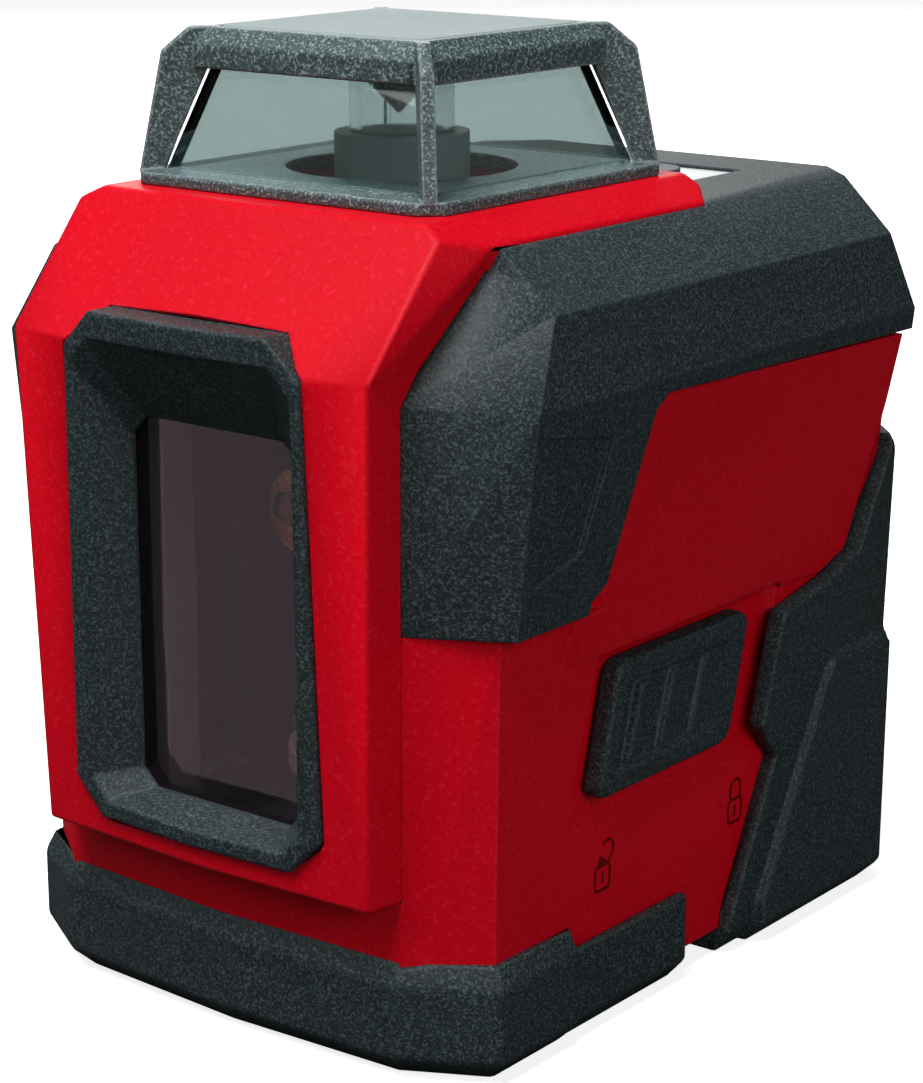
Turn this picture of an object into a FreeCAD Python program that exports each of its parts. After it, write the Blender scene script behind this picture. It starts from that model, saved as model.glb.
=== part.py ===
import FreeCAD, Part
import math
import os
import re
from FreeCAD import Placement, Rotation, Vector

# Self-levelling line laser: +X is its right side, the front window faces -Y, +Z is up.
# The origin is the bottom centre of the bounding box. All sizes are in millimetres.

doc = FreeCAD.newDocument("laser_level")
sheet = doc.addObject("Spreadsheet::Sheet", "sizes")

SIZES = {
    # overall envelope
    "total_height": 108.0,
    "body_front": -40.0,
    "body_rear": 46.9,
    "bow": 1.2,
    "front_flat": 24.3,
    "corner_depth": 5.8,
    "rear_corner": 6.2,
    # lower red body
    "lower_half_width": 32.8,
    "lower_edge": 3.0,
    "wall": 1.8,
    # rubber grip round the upper body
    "grip_bottom": 49.3,
    "grip_belt": 73.2,
    "grip_ridge": 82.3,
    "grip_top": 88.0,
    "grip_half_low": 35.0,
    "grip_half_belt": 37.6,
    "grip_half_ridge": 35.6,
    "grip_half_top": 27.4,
    "grip_top_front": -27.5,
    "ridge_front": -28.9,
    "grip_skin": 1.8,
    "badge_reach": 0.9,
    # front cover
    "panel_front": -45.6,
    "panel_bottom": 20.0,
    "panel_half_low": 23.4,
    "panel_half_top": 25.0,
    "brow_height": 76.6,
    "crown_end": -33.4,
    "crown_half": 25.3,
    "collar_half": 27.4,
    "collar_edge": 88.4,
    "collar_drop": 2.0,
    "collar_rear": 13.6,
    # front window and its bezel
    "opening_half": 11.9,
    "opening_low": 25.6,
    "opening_high": 68.0,
    "bezel_half": 17.8,
    "bezel_low": 22.6,
    "bezel_high": 80.0,
    "bezel_proud": 0.7,
    "pane_front": -40.6,
    "pane_thick": 1.6,
    # head cage
    "head_centre": -9.5,
    "cage_low": 90.9,
    "cage_rim": 1.4,
    "cage_half": 21.6,
    "cage_corner": 2.3,
    "cap_low": 103.5,
    "cap_bevel": 106.1,
    "cap_half": 17.0,
    "cap_top_half": 15.4,
    "fin_thick": 1.5,
    "glass_thick": 1.2,
    "glass_inset": 3.2,
    # bumpers
    "bumper_top": 13.3,
    "bumper_low_top": 10.7,
    "bumper_half": 34.2,
    "bumper_front": -41.2,
    "bumper_step": -21.5,
    "bumper_end": 0.4,
    "bumper_bevel": 2.6,
    "rear_bumper_top": 58.0,
    "rear_bumper_half": 35.6,
    # gimbal and pendulum
    "gimbal_height": 78.0,
    "gimbal_ring_inner": 14.4,
    "gimbal_ring_outer": 17.4,
    "gimbal_ring_height": 6.0,
    "pin_radius": 1.2,
    "pin_clearance": 0.03,
    "bearing_outer": 2.6,
    "bearing_width": 2.2,
    "swing": 4.0,
    "barrel_radius": 6.2,
    "hub_radius": 9.6,
    "front_laser_height": 56.0,
    "weight_radius": 11.5,
    "weight_low": 29.0,
    "weight_high": 41.0,
    "damper_gap": 2.2,
    # lock
    "lock_travel": 4.2,
    "slider_front": -17.2,
    "slider_length": 30.1,
    "slider_low": 26.6,
    "slider_high": 41.6,
    "slider_lean": 3.9,
    "recess_depth": 2.3,
    "slider_play": 0.35,
    # power and controls
    "cell_radius": 7.1,
    "cell_length": 50.0,
    "door_half": 23.5,
    "door_low": 17.0,
    "door_high": 69.0,
    "door_thick": 2.4,
    "door_play": 0.35,
    "keypad_half": 15.0,
    "keypad_front": 17.5,
    "keypad_rear": 37.5,
    "button_travel": 0.5,
    # mount
    "thread_radius": 3.175,
    "thread_length": 8.5,
    "base_floor": 0.8,
    "base_thick": 2.6,
}

for row, (alias, number) in enumerate(SIZES.items(), start=1):
    sheet.set(f"A{row}", alias)
    sheet.set(f"B{row}", str(number))
    sheet.setAlias(f"B{row}", alias)
doc.recompute()

nodes = []


def size(alias):
    return float(sheet.get(alias))


def formula(text):
    """Turns a formula in sheet names into an expression that the document understands."""
    return re.sub(r"[a-z][a-z_]{2,}", lambda found: "sizes." + found.group(0), str(text))


def bind(item, **formulas):
    for name, text in formulas.items():
        item.setExpression(name.replace("__", "."), formula(text))
    return item


def label(item, name):
    """Makes an object one of the part's own pieces, under its node name."""
    item.Label = name
    nodes.append(item)
    return item


def box(name, x, y, z, length, width, height):
    """A box from its low corner and its three lengths, all as formulas."""
    item = doc.addObject("Part::Box", name)
    return bind(item, Length=length, Width=width, Height=height,
                Placement__Base__x=x, Placement__Base__y=y, Placement__Base__z=z)


TURNS = {
    "x": Rotation(Vector(0, 1, 0), 90),
    "y": Rotation(Vector(1, 0, 0), -90),
    "z": Rotation(),
}


def cylinder(name, x, y, z, radius, height, axis="z"):
    """A cylinder that starts at x, y, z and runs along the given axis."""
    item = doc.addObject("Part::Cylinder", name)
    item.Placement = Placement(Vector(), TURNS[axis])
    return bind(item, Radius=radius, Height=height,
                Placement__Base__x=x, Placement__Base__y=y, Placement__Base__z=z)


def cone(name, x, y, z, low_radius, high_radius, height, axis="z"):
    item = doc.addObject("Part::Cone", name)
    item.Placement = Placement(Vector(), TURNS[axis])
    return bind(item, Radius1=low_radius, Radius2=high_radius, Height=height,
                Placement__Base__x=x, Placement__Base__y=y, Placement__Base__z=z)


def fuse(name, items):
    if len(items) == 1:
        return items[0]
    joined = doc.addObject("Part::MultiFuse", name)
    joined.Shapes = items
    joined.Refine = True
    return joined


def cut(name, base, tools):
    item = doc.addObject("Part::Cut", name)
    item.Base = base
    item.Tool = fuse(name + "_tools", tools)
    item.Refine = True
    return item


def group(name, items):
    """Identical fasteners or cells: separate solids under one name."""
    item = doc.addObject("Part::Compound", name)
    item.Links = items
    return item


def feature(name, shape, place=Placement()):
    item = doc.addObject("Part::Feature", name)
    item.Shape = shape
    item.Placement = place
    return item


def polygon(points):
    return Part.makePolygon(points + points[:1])


def facet(points):
    """One flat face, or two triangles folded outwards where a quad's corners aren't in one plane."""
    corners = [p for at, p in enumerate(points) if (p - points[at - 1]).Length > 1e-6]
    normal = (corners[1] - corners[0]).cross(corners[2] - corners[0])
    if all(abs(normal.dot(p - corners[0])) < 1e-7 * normal.Length for p in corners[3:]):
        return [Part.Face(polygon(corners))]
    a, b, c, d = corners
    outward = (c - a).cross(d - b)
    if outward.dot(a + c - b - d) > 0:
        return [Part.Face(polygon([a, b, c])), Part.Face(polygon([a, c, d]))]
    return [Part.Face(polygon([a, b, d])), Part.Face(polygon([b, c, d]))]


def loft(rings):
    """A faceted solid through outlines that have the same number of corners."""
    first = rings[0]
    turning = sum((first[at - 1].cross(first[at]) for at in range(len(first))), Vector())
    if turning.dot(rings[-1][0] - first[0]) < 0:
        rings = [ring[::-1] for ring in rings]
    faces = facet(rings[0][::-1]) + facet(rings[-1])
    for low, high in zip(rings, rings[1:]):
        for at in range(len(low)):
            faces += facet([low[at - 1], low[at], high[at], high[at - 1]])
    return Part.Solid(Part.Shell(faces))


def prism(points, direction):
    return Part.Face(polygon(points)).extrude(direction)


def mirrored(points):
    """Completes a half outline (x >= 0, front to rear) with its mirror image."""
    return points + [Vector(-p.x, p.y, p.z) for p in reversed(points) if p.x > 1e-6]


def outline(z, half, front, rear, flat, depth, bow, rear_corner, inset=0.0):
    """A body section at height z: bowed front, cut corners, straight sides."""
    turn = inset * 0.6
    return mirrored([
        Vector(0, front - bow + inset, z),
        Vector(min(flat - turn, half - inset - 0.3), front + inset, z),
        Vector(half - inset, front + depth + turn, z),
        Vector(half - inset, rear - rear_corner - turn, z),
        Vector(half - rear_corner - turn, rear - inset, z),
        Vector(0, rear - inset, z),
    ])


def body_section(z, half, inset=0.0):
    return outline(z, half, size("body_front"), size("body_rear"), size("front_flat"),
                   size("corner_depth"), size("bow"), size("rear_corner"), inset)


def half_space(y_low, y_high, z_low, z_high, reach=60.0):
    return Part.makeBox(2 * reach, y_high - y_low, z_high - z_low, Vector(-reach, y_low, z_low))


# ---------------------------------------------------------------- outer envelopes
def grip_half(z):
    """Half width of the rubber's side wall at height z, from its foot up to its belt line."""
    share = (z - size("grip_bottom")) / (size("grip_belt") - size("grip_bottom"))
    return size("grip_half_low") + share * (size("grip_half_belt") - size("grip_half_low"))


def upper_section(z, half, side_front, rear_corner, inset=0.0):
    """A section above the belt line, whose front corner follows the slanting edge of the crown."""
    share = (z - size("grip_belt")) / (size("grip_top") - size("grip_belt"))
    flat = size("front_flat") + share * (size("grip_half_top") - size("front_flat") - 0.3)
    front = size("body_front") + share * (size("grip_top_front") - size("body_front"))
    return outline(z - 0.5 * inset * share, half, front, size("body_rear"), flat,
                   max(side_front - front, 0.3), 0.0, rear_corner, inset)


def grip_envelope(inset=0.0, low=None):
    bottom = size("grip_bottom") if low is None else low
    corner = size("rear_corner")
    return loft([
        body_section(bottom, grip_half(bottom), inset),
        body_section(size("grip_belt"), size("grip_half_belt"), inset),
        upper_section(size("grip_ridge"), size("grip_half_ridge"), size("ridge_front"),
                      corner + 3.0, inset),
        upper_section(size("grip_top") - 0.5 * inset, size("grip_half_top"),
                      size("grip_top_front"), corner, inset),
    ])


def lower_envelope(inset=0.0, low=None, high=None):
    bottom = size("lower_edge") if low is None else low
    top = size("grip_bottom") if high is None else high
    return loft([
        body_section(bottom, size("lower_half_width") - 0.6, inset),
        body_section(top, size("lower_half_width"), inset),
    ])


def crown_outline(z, front, half):
    """The crown's straight edges seen from above: forehead, cut corners, sides and rear."""
    end, rear = size("crown_end"), size("collar_rear")
    return mirrored([
        Vector(0, front, z),
        Vector(size("crown_half"), end, z),
        Vector(half, end + 4.8, z),
        Vector(half, rear - 3.2, z),
        Vector(half - 2.8, rear, z),
    ])


def front_envelope():
    """Panel, forehead and collar as one solid, before its window and its hollow."""
    front, end = size("panel_front"), size("body_front")
    flat, back = size("front_flat"), size("body_front") + 4.0
    foot = mirrored([
        Vector(0, front + 1.0 - size("bow"), size("panel_bottom")),
        Vector(size("panel_half_low"), front + 1.0, size("panel_bottom")),
        Vector(flat, end, size("panel_bottom")),
        Vector(flat, back, size("panel_bottom")),
    ])
    brow = mirrored([
        Vector(0, front - size("bow") * 0.7, size("brow_height")),
        Vector(size("panel_half_top"), front, size("brow_height")),
        Vector(flat + 0.2, end, size("brow_height")),
        Vector(flat + 0.2, back, size("brow_height")),
    ])
    crown = mirrored([
        Vector(0, size("crown_end") - size("bow") * 0.7, size("cage_low")),
        Vector(size("crown_half"), size("crown_end"), size("cage_low")),
        Vector(size("collar_half") + 0.8, size("crown_end") + 8.8, size("cage_low")),
        Vector(size("collar_half") + 0.8, size("crown_end") + 13.4, size("cage_low")),
    ])
    return loft([foot, brow, crown])


def collar_envelope():
    """The shelf round the head."""
    low = size("grip_top") - size("collar_drop")
    return prism(crown_outline(low, size("crown_end") - size("bow") * 0.6, size("collar_half")),
                 Vector(0, 0, size("cage_low") - low))


def roof():
    """The space under the shelf's sloping sides."""
    half, edge = size("collar_half"), size("collar_edge")
    return prism([
        Vector(-half - 1.2, -60, 10.0),
        Vector(-half - 1.2, -60, size("brow_height")),
        Vector(-half, -60, edge - 2.0),
        Vector(-half, -60, edge),
        Vector(-size("cage_half") - 1.0, -60, size("cage_low")),
        Vector(size("cage_half") + 1.0, -60, size("cage_low")),
        Vector(half, -60, edge),
        Vector(half, -60, edge - 2.0),
        Vector(half + 1.2, -60, size("brow_height")),
        Vector(half + 1.2, -60, 10.0),
    ], Vector(0, 120, 0))


# ---------------------------------------------------------------- red front cover
def window_outline(y, half_low, half_high, low, high, corner):
    return mirrored([
        Vector(0, y, low),
        Vector(half_low - corner, y, low),
        Vector(half_low, y, low + corner),
        Vector(half_high, y, high - corner),
        Vector(half_high - corner, y, high),
        Vector(0, y, high),
    ])


def bezel_prism(shrink=0.0):
    points = window_outline(size("panel_front") - 6.0, size("bezel_half") - shrink,
                            size("bezel_half") - 1.2 - shrink, size("bezel_low") + shrink,
                            size("bezel_high") - shrink, 4.0)
    return prism(points, Vector(0, 16.0, 0))


hollow_low = size("panel_bottom") + size("wall")
front_hollow = loft([
    mirrored([
        Vector(0, size("panel_front") + size("wall"), z),
        Vector(half - size("wall"), size("panel_front") + size("wall") + 0.4, z),
        Vector(half - size("wall"), size("body_front") + 6.0, z),
    ])
    for z, half in ((hollow_low, size("panel_half_low")),
                    (size("brow_height") - 2.0, size("front_flat")))
])
head_bore = Part.makeCylinder(14.0, 30.0, Vector(0, size("head_centre"), size("collar_edge") - 22.0))
front_solid = front_envelope().fuse(collar_envelope()).common(roof()).removeSplitter()
crown_hollow = loft([
    mirrored([
        Vector(0, size("panel_front") + 2.2, size("brow_height") - 2.5),
        Vector(size("front_flat") - 2.0, size("panel_front") + 2.6, size("brow_height") - 2.5),
        Vector(size("front_flat") - 2.0, size("head_centre"), size("brow_height") - 2.5),
    ]),
    mirrored([
        Vector(0, size("crown_end") + 1.6, size("collar_edge") - 1.4),
        Vector(size("front_flat") - 2.5, size("crown_end") + 3.0, size("collar_edge") - 1.4),
        Vector(size("front_flat") - 2.5, size("head_centre") + 4.0, size("collar_edge") - 1.4),
    ]),
])
front_cover_shape = front_solid.cut(front_hollow).cut(crown_hollow).cut(head_bore).cut(bezel_prism())
label(feature("front_cover_body", front_cover_shape), "front_cover")

# ---------------------------------------------------------------- red main housing
core_outer = grip_envelope(size("grip_skin"), size("grip_bottom")).fuse(lower_envelope())
step_height = size("grip_bottom") - size("wall")
core_inner = grip_envelope(size("grip_skin") + size("wall"), step_height).fuse(
    lower_envelope(size("wall"), size("lower_edge") - 1.0, step_height))

badge_low, badge_high = 43.6, 70.8
badge_points = [
    Vector(0, -15.7, badge_low),
    Vector(0, 28.0, badge_low - 0.8),
    Vector(0, 33.0, badge_low + 1.0),
    Vector(0, 38.5, 62.0),
    Vector(0, 40.2, badge_high - 0.8),
    Vector(0, -10.8, badge_high + 0.6),
    Vector(0, -12.6, badge_high - 1.0),
    Vector(0, -18.2, 51.0),
]


def side_prism(points, x_low, x_high):
    right = prism([Vector(x_low, p.y, p.z) for p in points], Vector(x_high - x_low, 0, 0))
    left = right.mirror(Vector(), Vector(1, 0, 0))
    return right, left


badge_tool_right, badge_tool_left = side_prism(badge_points, 31.0, 45.0)
badge_skin = grip_envelope(size("badge_reach"), 40.0).cut(grip_envelope(size("grip_skin") + 0.9, 40.0))
badge_right = badge_skin.common(badge_tool_right)
badge_left = badge_skin.common(badge_tool_left)

# sloping shoulders that lead from the lower sides up to the badge pads
shoulder_top = size("grip_bottom") - 0.4
shoulder = loft([
    [Vector(x, front_low, badge_low), Vector(x, -14.0, badge_low),
     Vector(x, -14.0, shoulder_top), Vector(x, front_high, shoulder_top)]
    for x, front_low, front_high in ((31.6, -24.6, -26.0), (36.6, -15.2, -17.2))
])
shoulder_right = shoulder.common(grip_envelope(size("badge_reach"), 40.0))
shoulder_left = shoulder_right.mirror(Vector(), Vector(1, 0, 0))

# recess that the lock slider runs in, and the wall slot behind it
recess_floor = [
    Vector(0, -18.4, 26.0),
    Vector(0, 14.2, 26.0),
    Vector(0, 18.2, 42.8),
    Vector(0, -14.6, 42.8),
]
recess_mouth = [
    Vector(0, -23.2, 22.4),
    Vector(0, 17.2, 22.4),
    Vector(0, 19.0, 43.6),
    Vector(0, -16.4, 43.6),
]
floor_x = size("lower_half_width") - size("recess_depth")
surface_x = size("lower_half_width") - 0.1
recess = loft([[Vector(floor_x, p.y, p.z) for p in recess_floor],
               [Vector(surface_x, p.y, p.z) for p in recess_mouth]])
recess = recess.fuse(prism([Vector(surface_x, p.y, p.z) for p in recess_mouth], Vector(8, 0, 0)))
recess_lining = prism([Vector(floor_x - 1.6, p.y, p.z) for p in recess_mouth], Vector(4.4, 0, 0))
slot_low = (size("slider_low") + size("slider_high")) / 2 - 2.2
lock_slot = Part.makeBox(8, 14.4, 4.4, Vector(floor_x - 3, -9.8, slot_low))

door_hole = Part.makeBox(2 * size("door_half"), 14.0, size("door_high") - size("door_low"),
                         Vector(-size("door_half"), size("body_rear") - 9.0, size("door_low")))
keypad_hole = Part.makeBox(2 * size("keypad_half"), size("keypad_rear") - size("keypad_front"), 12.0,
                           Vector(-size("keypad_half"), size("keypad_front"), size("grip_top") - 6.0))
front_door = prism(window_outline(size("body_front") - 8.0, 21.5, 22.5, 23.0, 80.0, 2.0),
                   Vector(0, 14.0, 0))

core = core_outer.cut(core_inner)
core = core.fuse([badge_right, badge_left, shoulder_right, shoulder_left])
core = core.fuse(recess_lining.common(core_outer))
core = core.cut(recess).cut(lock_slot).cut(front_solid).cut(front_door).cut(door_hole)
core = core.cut(keypad_hole).cut(head_bore)
screw_places = [(sx * 24.8, y) for sx in (-1, 1) for y in (-24.0, 16.0)]
base_top = size("lower_edge") + 2.0
hinge_y, hinge_z = size("body_rear") - 1.6, size("door_low") + 2.0
lug_inner = size("door_half") - 4.6
for low in (lug_inner, -size("door_half") - 0.2):
    lug = Part.makeCylinder(1.6, 4.8, Vector(low, hinge_y, hinge_z), Vector(1, 0, 0))
    lug = lug.fuse(Part.makeBox(4.8, 3.2, 3.0, Vector(low, hinge_y - 1.6, hinge_z - 3.0)))
    core = core.fuse(lug)
core = core.cut(Part.makeCylinder(0.82, 46.4, Vector(-23.2, hinge_y, hinge_z), Vector(1, 0, 0)))
for x, y in screw_places:
    boss = Part.makeCylinder(2.6, 13.0, Vector(x, y, base_top))
    web = Part.makeBox(6.4, 1.6, 13.0, Vector(x if x > 0 else x - 6.4, y - 0.8, base_top))
    bore = Part.makeCylinder(1.5, 12.0, Vector(x, y, base_top - 1.0))
    core = core.fuse(boss.fuse(web)).cut(bore)
core = core.removeSplitter()
label(feature("main_housing_body", core), "main_housing")

# ---------------------------------------------------------------- rubber grip
grip_lower_cut = [
    Vector(0, -21.5, 40.0),
    Vector(0, -21.5, size("grip_bottom") + 1.3),
    Vector(0, -18.9, size("grip_bottom") + 2.9),
    Vector(0, -13.0, badge_high - 0.6),
    Vector(0, -11.0, badge_high + 0.9),
    Vector(0, 60.0, badge_high - 0.5),
    Vector(0, 60.0, 40.0),
]
grip_pocket = [
    Vector(0, -32.0, 70.6),
    Vector(0, -20.4, 68.6),
    Vector(0, -24.2, 56.8),
    Vector(0, -32.0, 54.6),
]
cut_right, cut_left = side_prism(grip_lower_cut, 0.0, 60.0)
pocket_right, pocket_left = side_prism(grip_pocket, 30.0, 45.0)
pocket_band = grip_envelope(0.0, 45.0).cut(grip_envelope(0.6, 45.0))
grip = grip_envelope().cut(grip_envelope(size("grip_skin"), size("grip_bottom") - 0.001))
grip = grip.cut(cut_right).cut(cut_left).cut(front_solid).cut(keypad_hole)
grip = grip.cut(pocket_band.common(pocket_right)).cut(pocket_band.common(pocket_left))
label(feature("upper_grip_body", grip), "upper_grip")

# ---------------------------------------------------------------- rubber bumpers
def bumper_section(z, inset):
    return outline(z, size("bumper_half"), size("bumper_front"), size("body_rear") + 0.6,
                   size("front_flat"), size("corner_depth"), size("bow"), size("rear_corner"), inset)


def inside_floor(z, inset):
    return outline(z, size("lower_half_width"), size("body_front"), size("body_rear"),
                   size("front_flat"), size("corner_depth"), size("bow"), size("rear_corner"), inset)


bumper_outer = loft([
    bumper_section(0.0, size("bumper_bevel")),
    bumper_section(size("bumper_bevel"), 0.0),
    bumper_section(size("bumper_top") - 2.4, 0.0),
    bumper_section(size("bumper_top"), 1.1),
])
flange_reach = 5.0
red_body = lower_envelope(0.0, size("lower_edge"), size("grip_bottom"))
underside = loft([inside_floor(-1.0, flange_reach), inside_floor(size("lower_edge"), flange_reach)])
low_part = half_space(size("bumper_step"), 60.0, size("bumper_low_top"), 60.0)
behind_bumper = half_space(size("bumper_end"), 60.0, -1.0, 60.0)
thinner = bumper_outer.cut(loft([bumper_section(-1.0, size("bumper_bevel") + 1.1),
                                 bumper_section(size("bumper_bevel"), 0.5),
                                 bumper_section(size("bumper_top") + 1.0, 0.5)]))
thinner = thinner.common(half_space(size("bumper_step"), 60.0, 0.0, 60.0))
front_bumper = bumper_outer.cut(red_body).cut(underside).cut(low_part).cut(behind_bumper).cut(thinner)
label(feature("front_bumper_body", front_bumper.removeSplitter()), "front_bumper")

rear_side = [
    Vector(0, 8.6, -1.0),
    Vector(0, 9.2, 4.6),
    Vector(0, 17.4, 22.6),
    Vector(0, 14.0, 27.2),
    Vector(0, 17.6, 40.4),
    Vector(0, 28.2, 42.4),
    Vector(0, 33.4, 44.3),
    Vector(0, 40.8, 57.4),
    Vector(0, 60.0, size("rear_bumper_top")),
    Vector(0, 60.0, -1.0),
]
block_side = [
    Vector(0, 13.6, -1.0),
    Vector(0, 14.2, 5.0),
    Vector(0, 27.4, 31.0),
    Vector(0, 30.0, 33.6),
    Vector(0, 60.0, 33.6),
    Vector(0, 60.0, -1.0),
]


def rear_section(z, half, inset):
    return outline(z, half, size("body_front"), size("body_rear") + 0.6, size("front_flat"),
                   size("corner_depth"), size("bow"), size("rear_corner"), inset)


def both_sides(points):
    right, left = side_prism(points, 0.0, 60.0)
    return right.fuse(left).removeSplitter()


rear_half = size("rear_bumper_half")
rear_outer = loft([
    rear_section(0.0, rear_half - 1.0, size("bumper_bevel")),
    rear_section(size("bumper_bevel"), rear_half - 1.0, 0.6),
    rear_section(size("rear_bumper_top") - 2.0, rear_half + 0.6, 0.6),
    rear_section(size("rear_bumper_top"), rear_half + 0.6, 1.2),
])
block_outer = loft([
    rear_section(0.0, rear_half, size("bumper_bevel")),
    rear_section(size("bumper_bevel"), rear_half, 0.0),
    rear_section(31.4, rear_half + 0.3, 0.0),
    rear_section(33.6, rear_half, 1.0),
])
rear_shape = rear_outer.common(both_sides(rear_side)).fuse(block_outer.common(both_sides(block_side)))
rear_window = Part.makeBox(2 * size("door_half") + 3.0, 30.0, 80.0,
                           Vector(-size("door_half") - 1.5, size("body_rear") - 12.0, size("door_low") - 2.4))
upper_core = grip_envelope(size("grip_skin"), size("grip_bottom"))
rear_shape = rear_shape.cut(red_body).cut(underside).cut(rear_window).cut(upper_core)
rear_shape = rear_shape.cut(badge_right).cut(badge_left).removeSplitter()
label(feature("rear_bumper_body", rear_shape), "rear_bumper")

# ---------------------------------------------------------------- base
base_low = prism(inside_floor(size("base_floor"), flange_reach + 0.2),
                 Vector(0, 0, size("lower_edge") - size("base_floor")))
base_high = prism(inside_floor(size("lower_edge"), size("wall") + 0.75), Vector(0, 0, 2.0))
base_shape = base_low.fuse(base_high).removeSplitter()
base_solid = feature("base_blank", base_shape)
mount_y = -2.0
foot_places = [(sx * 20.0, y) for sx in (-1, 1) for y in (-30.0, 5.0)]

base_holes = [cylinder("insert_seat", 0, mount_y, 0, "thread_radius + 2.4", 8)]
for count, (x, y) in enumerate(screw_places + foot_places):
    base_holes.append(cylinder(f"screw_seat_{count}", x, y, -1, 1.55, 10))
    base_holes.append(cylinder(f"head_seat_{count}", x, y, -1, 2.7, "base_floor + 2.6"))
base = label(cut("base_plate_body", base_solid, base_holes), "base_plate")

insert = fuse("insert_blank", [
    cylinder("insert_barrel", 0, mount_y, "base_floor", "thread_radius + 2.4", "thread_length"),
    cylinder("insert_flange", 0, mount_y, "lower_edge + 2", "thread_radius + 4.2", 1.6),
])
label(cut("tripod_insert_body", insert, [
    cylinder("insert_thread", 0, mount_y, "base_floor - 1", "thread_radius", "thread_length - 0.6")]),
    "tripod_insert")


def screw(name, x, y, z, length, radius=1.45, head=2.4, head_height=1.6):
    """A pan-head screw standing on its head, with a cross recess cut in it."""
    shank = cylinder(name + "_shank", x, y, z, radius, length)
    top = cylinder(name + "_head", x, y, z, head, head_height)
    slot_a = box(name + "_slot_a", x - 1.6, y - 0.3, z, 3.2, 0.6, 0.7)
    slot_b = box(name + "_slot_b", x - 0.3, y - 1.6, z, 0.6, 3.2, 0.7)
    return cut(name, fuse(name + "_blank", [shank, top]), [slot_a, slot_b])


label(group("housing_screws_set", [
    screw(f"housing_screw_{count}", x, y, size("base_floor"), 15.0)
    for count, (x, y) in enumerate(screw_places)]), "housing_screws")
label(group("chassis_screws_set", [
    screw(f"chassis_screw_{count}", x, y, size("base_floor"), 10.0)
    for count, (x, y) in enumerate(foot_places)]), "chassis_screws")

# ---------------------------------------------------------------- window
bezel_body = bezel_prism(0.05)
bezel_front = size("panel_front") - size("bezel_proud")
lean = 1.0
bezel_limit = loft([
    mirrored([
        Vector(0, bezel_front - size("bow") + shift, z),
        Vector(30.0, bezel_front + 0.5 + shift, z),
        Vector(30.0, size("pane_front"), z),
    ])
    for z, shift in ((size("panel_bottom") - 5.0, lean), (size("brow_height") + 8.0, -0.1))
])


def hopper(y_front, y_back):
    """The window opening, which narrows from the front to the pane."""
    mouth, wide = (
        window_outline(y, size("opening_half") + 3.9, size("opening_half") + 3.6,
                       size("opening_low") - 1.0, size("opening_high") + 9.0, 2.4)
        for y in (y_front - 4.0 * size("bow"), y_front))
    deep = window_outline(y_back, size("opening_half"), size("opening_half"),
                          size("opening_low"), size("opening_high"), 2.0)
    through = window_outline(y_back + 12.0, size("opening_half"), size("opening_half"),
                             size("opening_low"), size("opening_high"), 2.0)
    return loft([mouth, wide, deep, through])


bezel_shape = bezel_body.common(bezel_limit).cut(hopper(bezel_front - 0.5, size("pane_front") - 0.6))
label(feature("window_bezel_body", bezel_shape.removeSplitter()), "window_bezel")

pane_outline = window_outline(size("pane_front"), size("bezel_half") - 2.0, size("bezel_half") - 3.2,
                              size("opening_low") - 1.6, size("opening_high") + 4.0, 3.0)
label(feature("front_pane_body", prism(pane_outline, Vector(0, size("pane_thick"), 0))), "front_pane")
gasket_outer = window_outline(size("pane_front") + size("pane_thick"), 19.6, 19.6, 22.6, 75.4, 3.0)
gasket_inner = window_outline(size("pane_front"), 12.4, 12.4, 25.0, 68.6, 2.0)
gasket = prism(gasket_outer, Vector(0, 1.6, 0)).cut(prism(gasket_inner, Vector(0, 9.0, 0)))
label(feature("pane_retainer_body", gasket), "pane_retainer")

# ---------------------------------------------------------------- head
centre = size("head_centre")


def square(z, half, corner):
    return mirrored([
        Vector(half - corner, centre - half, z),
        Vector(half, centre - half + corner, z),
        Vector(half, centre + half - corner, z),
        Vector(half - corner, centre + half, z),
    ])


cage_top = size("cage_low") + size("cage_rim")
cage_plate = prism(square(size("cage_low"), size("cage_half"), size("cage_corner")),
                   Vector(0, 0, size("cage_rim")))
cage_plate = cage_plate.cut(Part.makeCylinder(12.6, 10.0, Vector(0, centre, size("cage_low") - 2)))
skirt = loft([
    square(size("cap_low"), size("cap_half"), 1.8),
    square(size("cap_bevel"), size("cap_half"), 1.8),
    square(size("total_height") - 0.1, size("cap_top_half"), 1.2),
])
skirt = skirt.cut(prism(square(size("cap_low") - 1, size("cap_half") - 4.0, 1.0), Vector(0, 0, 9)))
cap_seat = prism(square(size("total_height") - 1.6, size("cap_top_half") - 1.0, 1.0), Vector(0, 0, 5))
skirt = skirt.cut(cap_seat)
fin_outline = [
    (size("cage_half") - 1.1, cage_top - 0.2),
    (size("cap_half") + 1.6, size("cap_bevel") - 0.8),
    (size("cap_half") - 0.6, size("total_height") - 0.1),
    (size("cap_half") - 3.2, size("total_height") - 0.1),
    (size("cap_half") - 2.0, size("cap_low")),
    (size("cage_half") - 2.9, cage_top - 0.2),
]
fin_half = size("fin_thick") / 2 / math.sqrt(2)
cage = cage_plate.fuse(skirt)
for sx, sy in ((1, -1), (1, 1), (-1, 1), (-1, -1)):
    plate = [Vector(sx * (reach + fin_half), centre + sy * (reach - fin_half), z)
             for reach, z in fin_outline]
    cage = cage.fuse(prism(plate, Vector(-2 * sx * fin_half, 2 * sy * fin_half, 0)))
cage = cage.cut(cap_seat).removeSplitter()
label(feature("head_cage_body", cage), "head_cage")
label(feature("head_cap_body", prism(square(size("total_height") - 1.6, size("cap_top_half") - 1.05, 1.0),
                                     Vector(0, 0, 1.6))), "head_cap")

glass_low = size("cage_half") - size("glass_inset")
glass_high = size("cap_half") - 2.2
glass_foot = cage_top
glass_top = size("cap_low")


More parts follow.
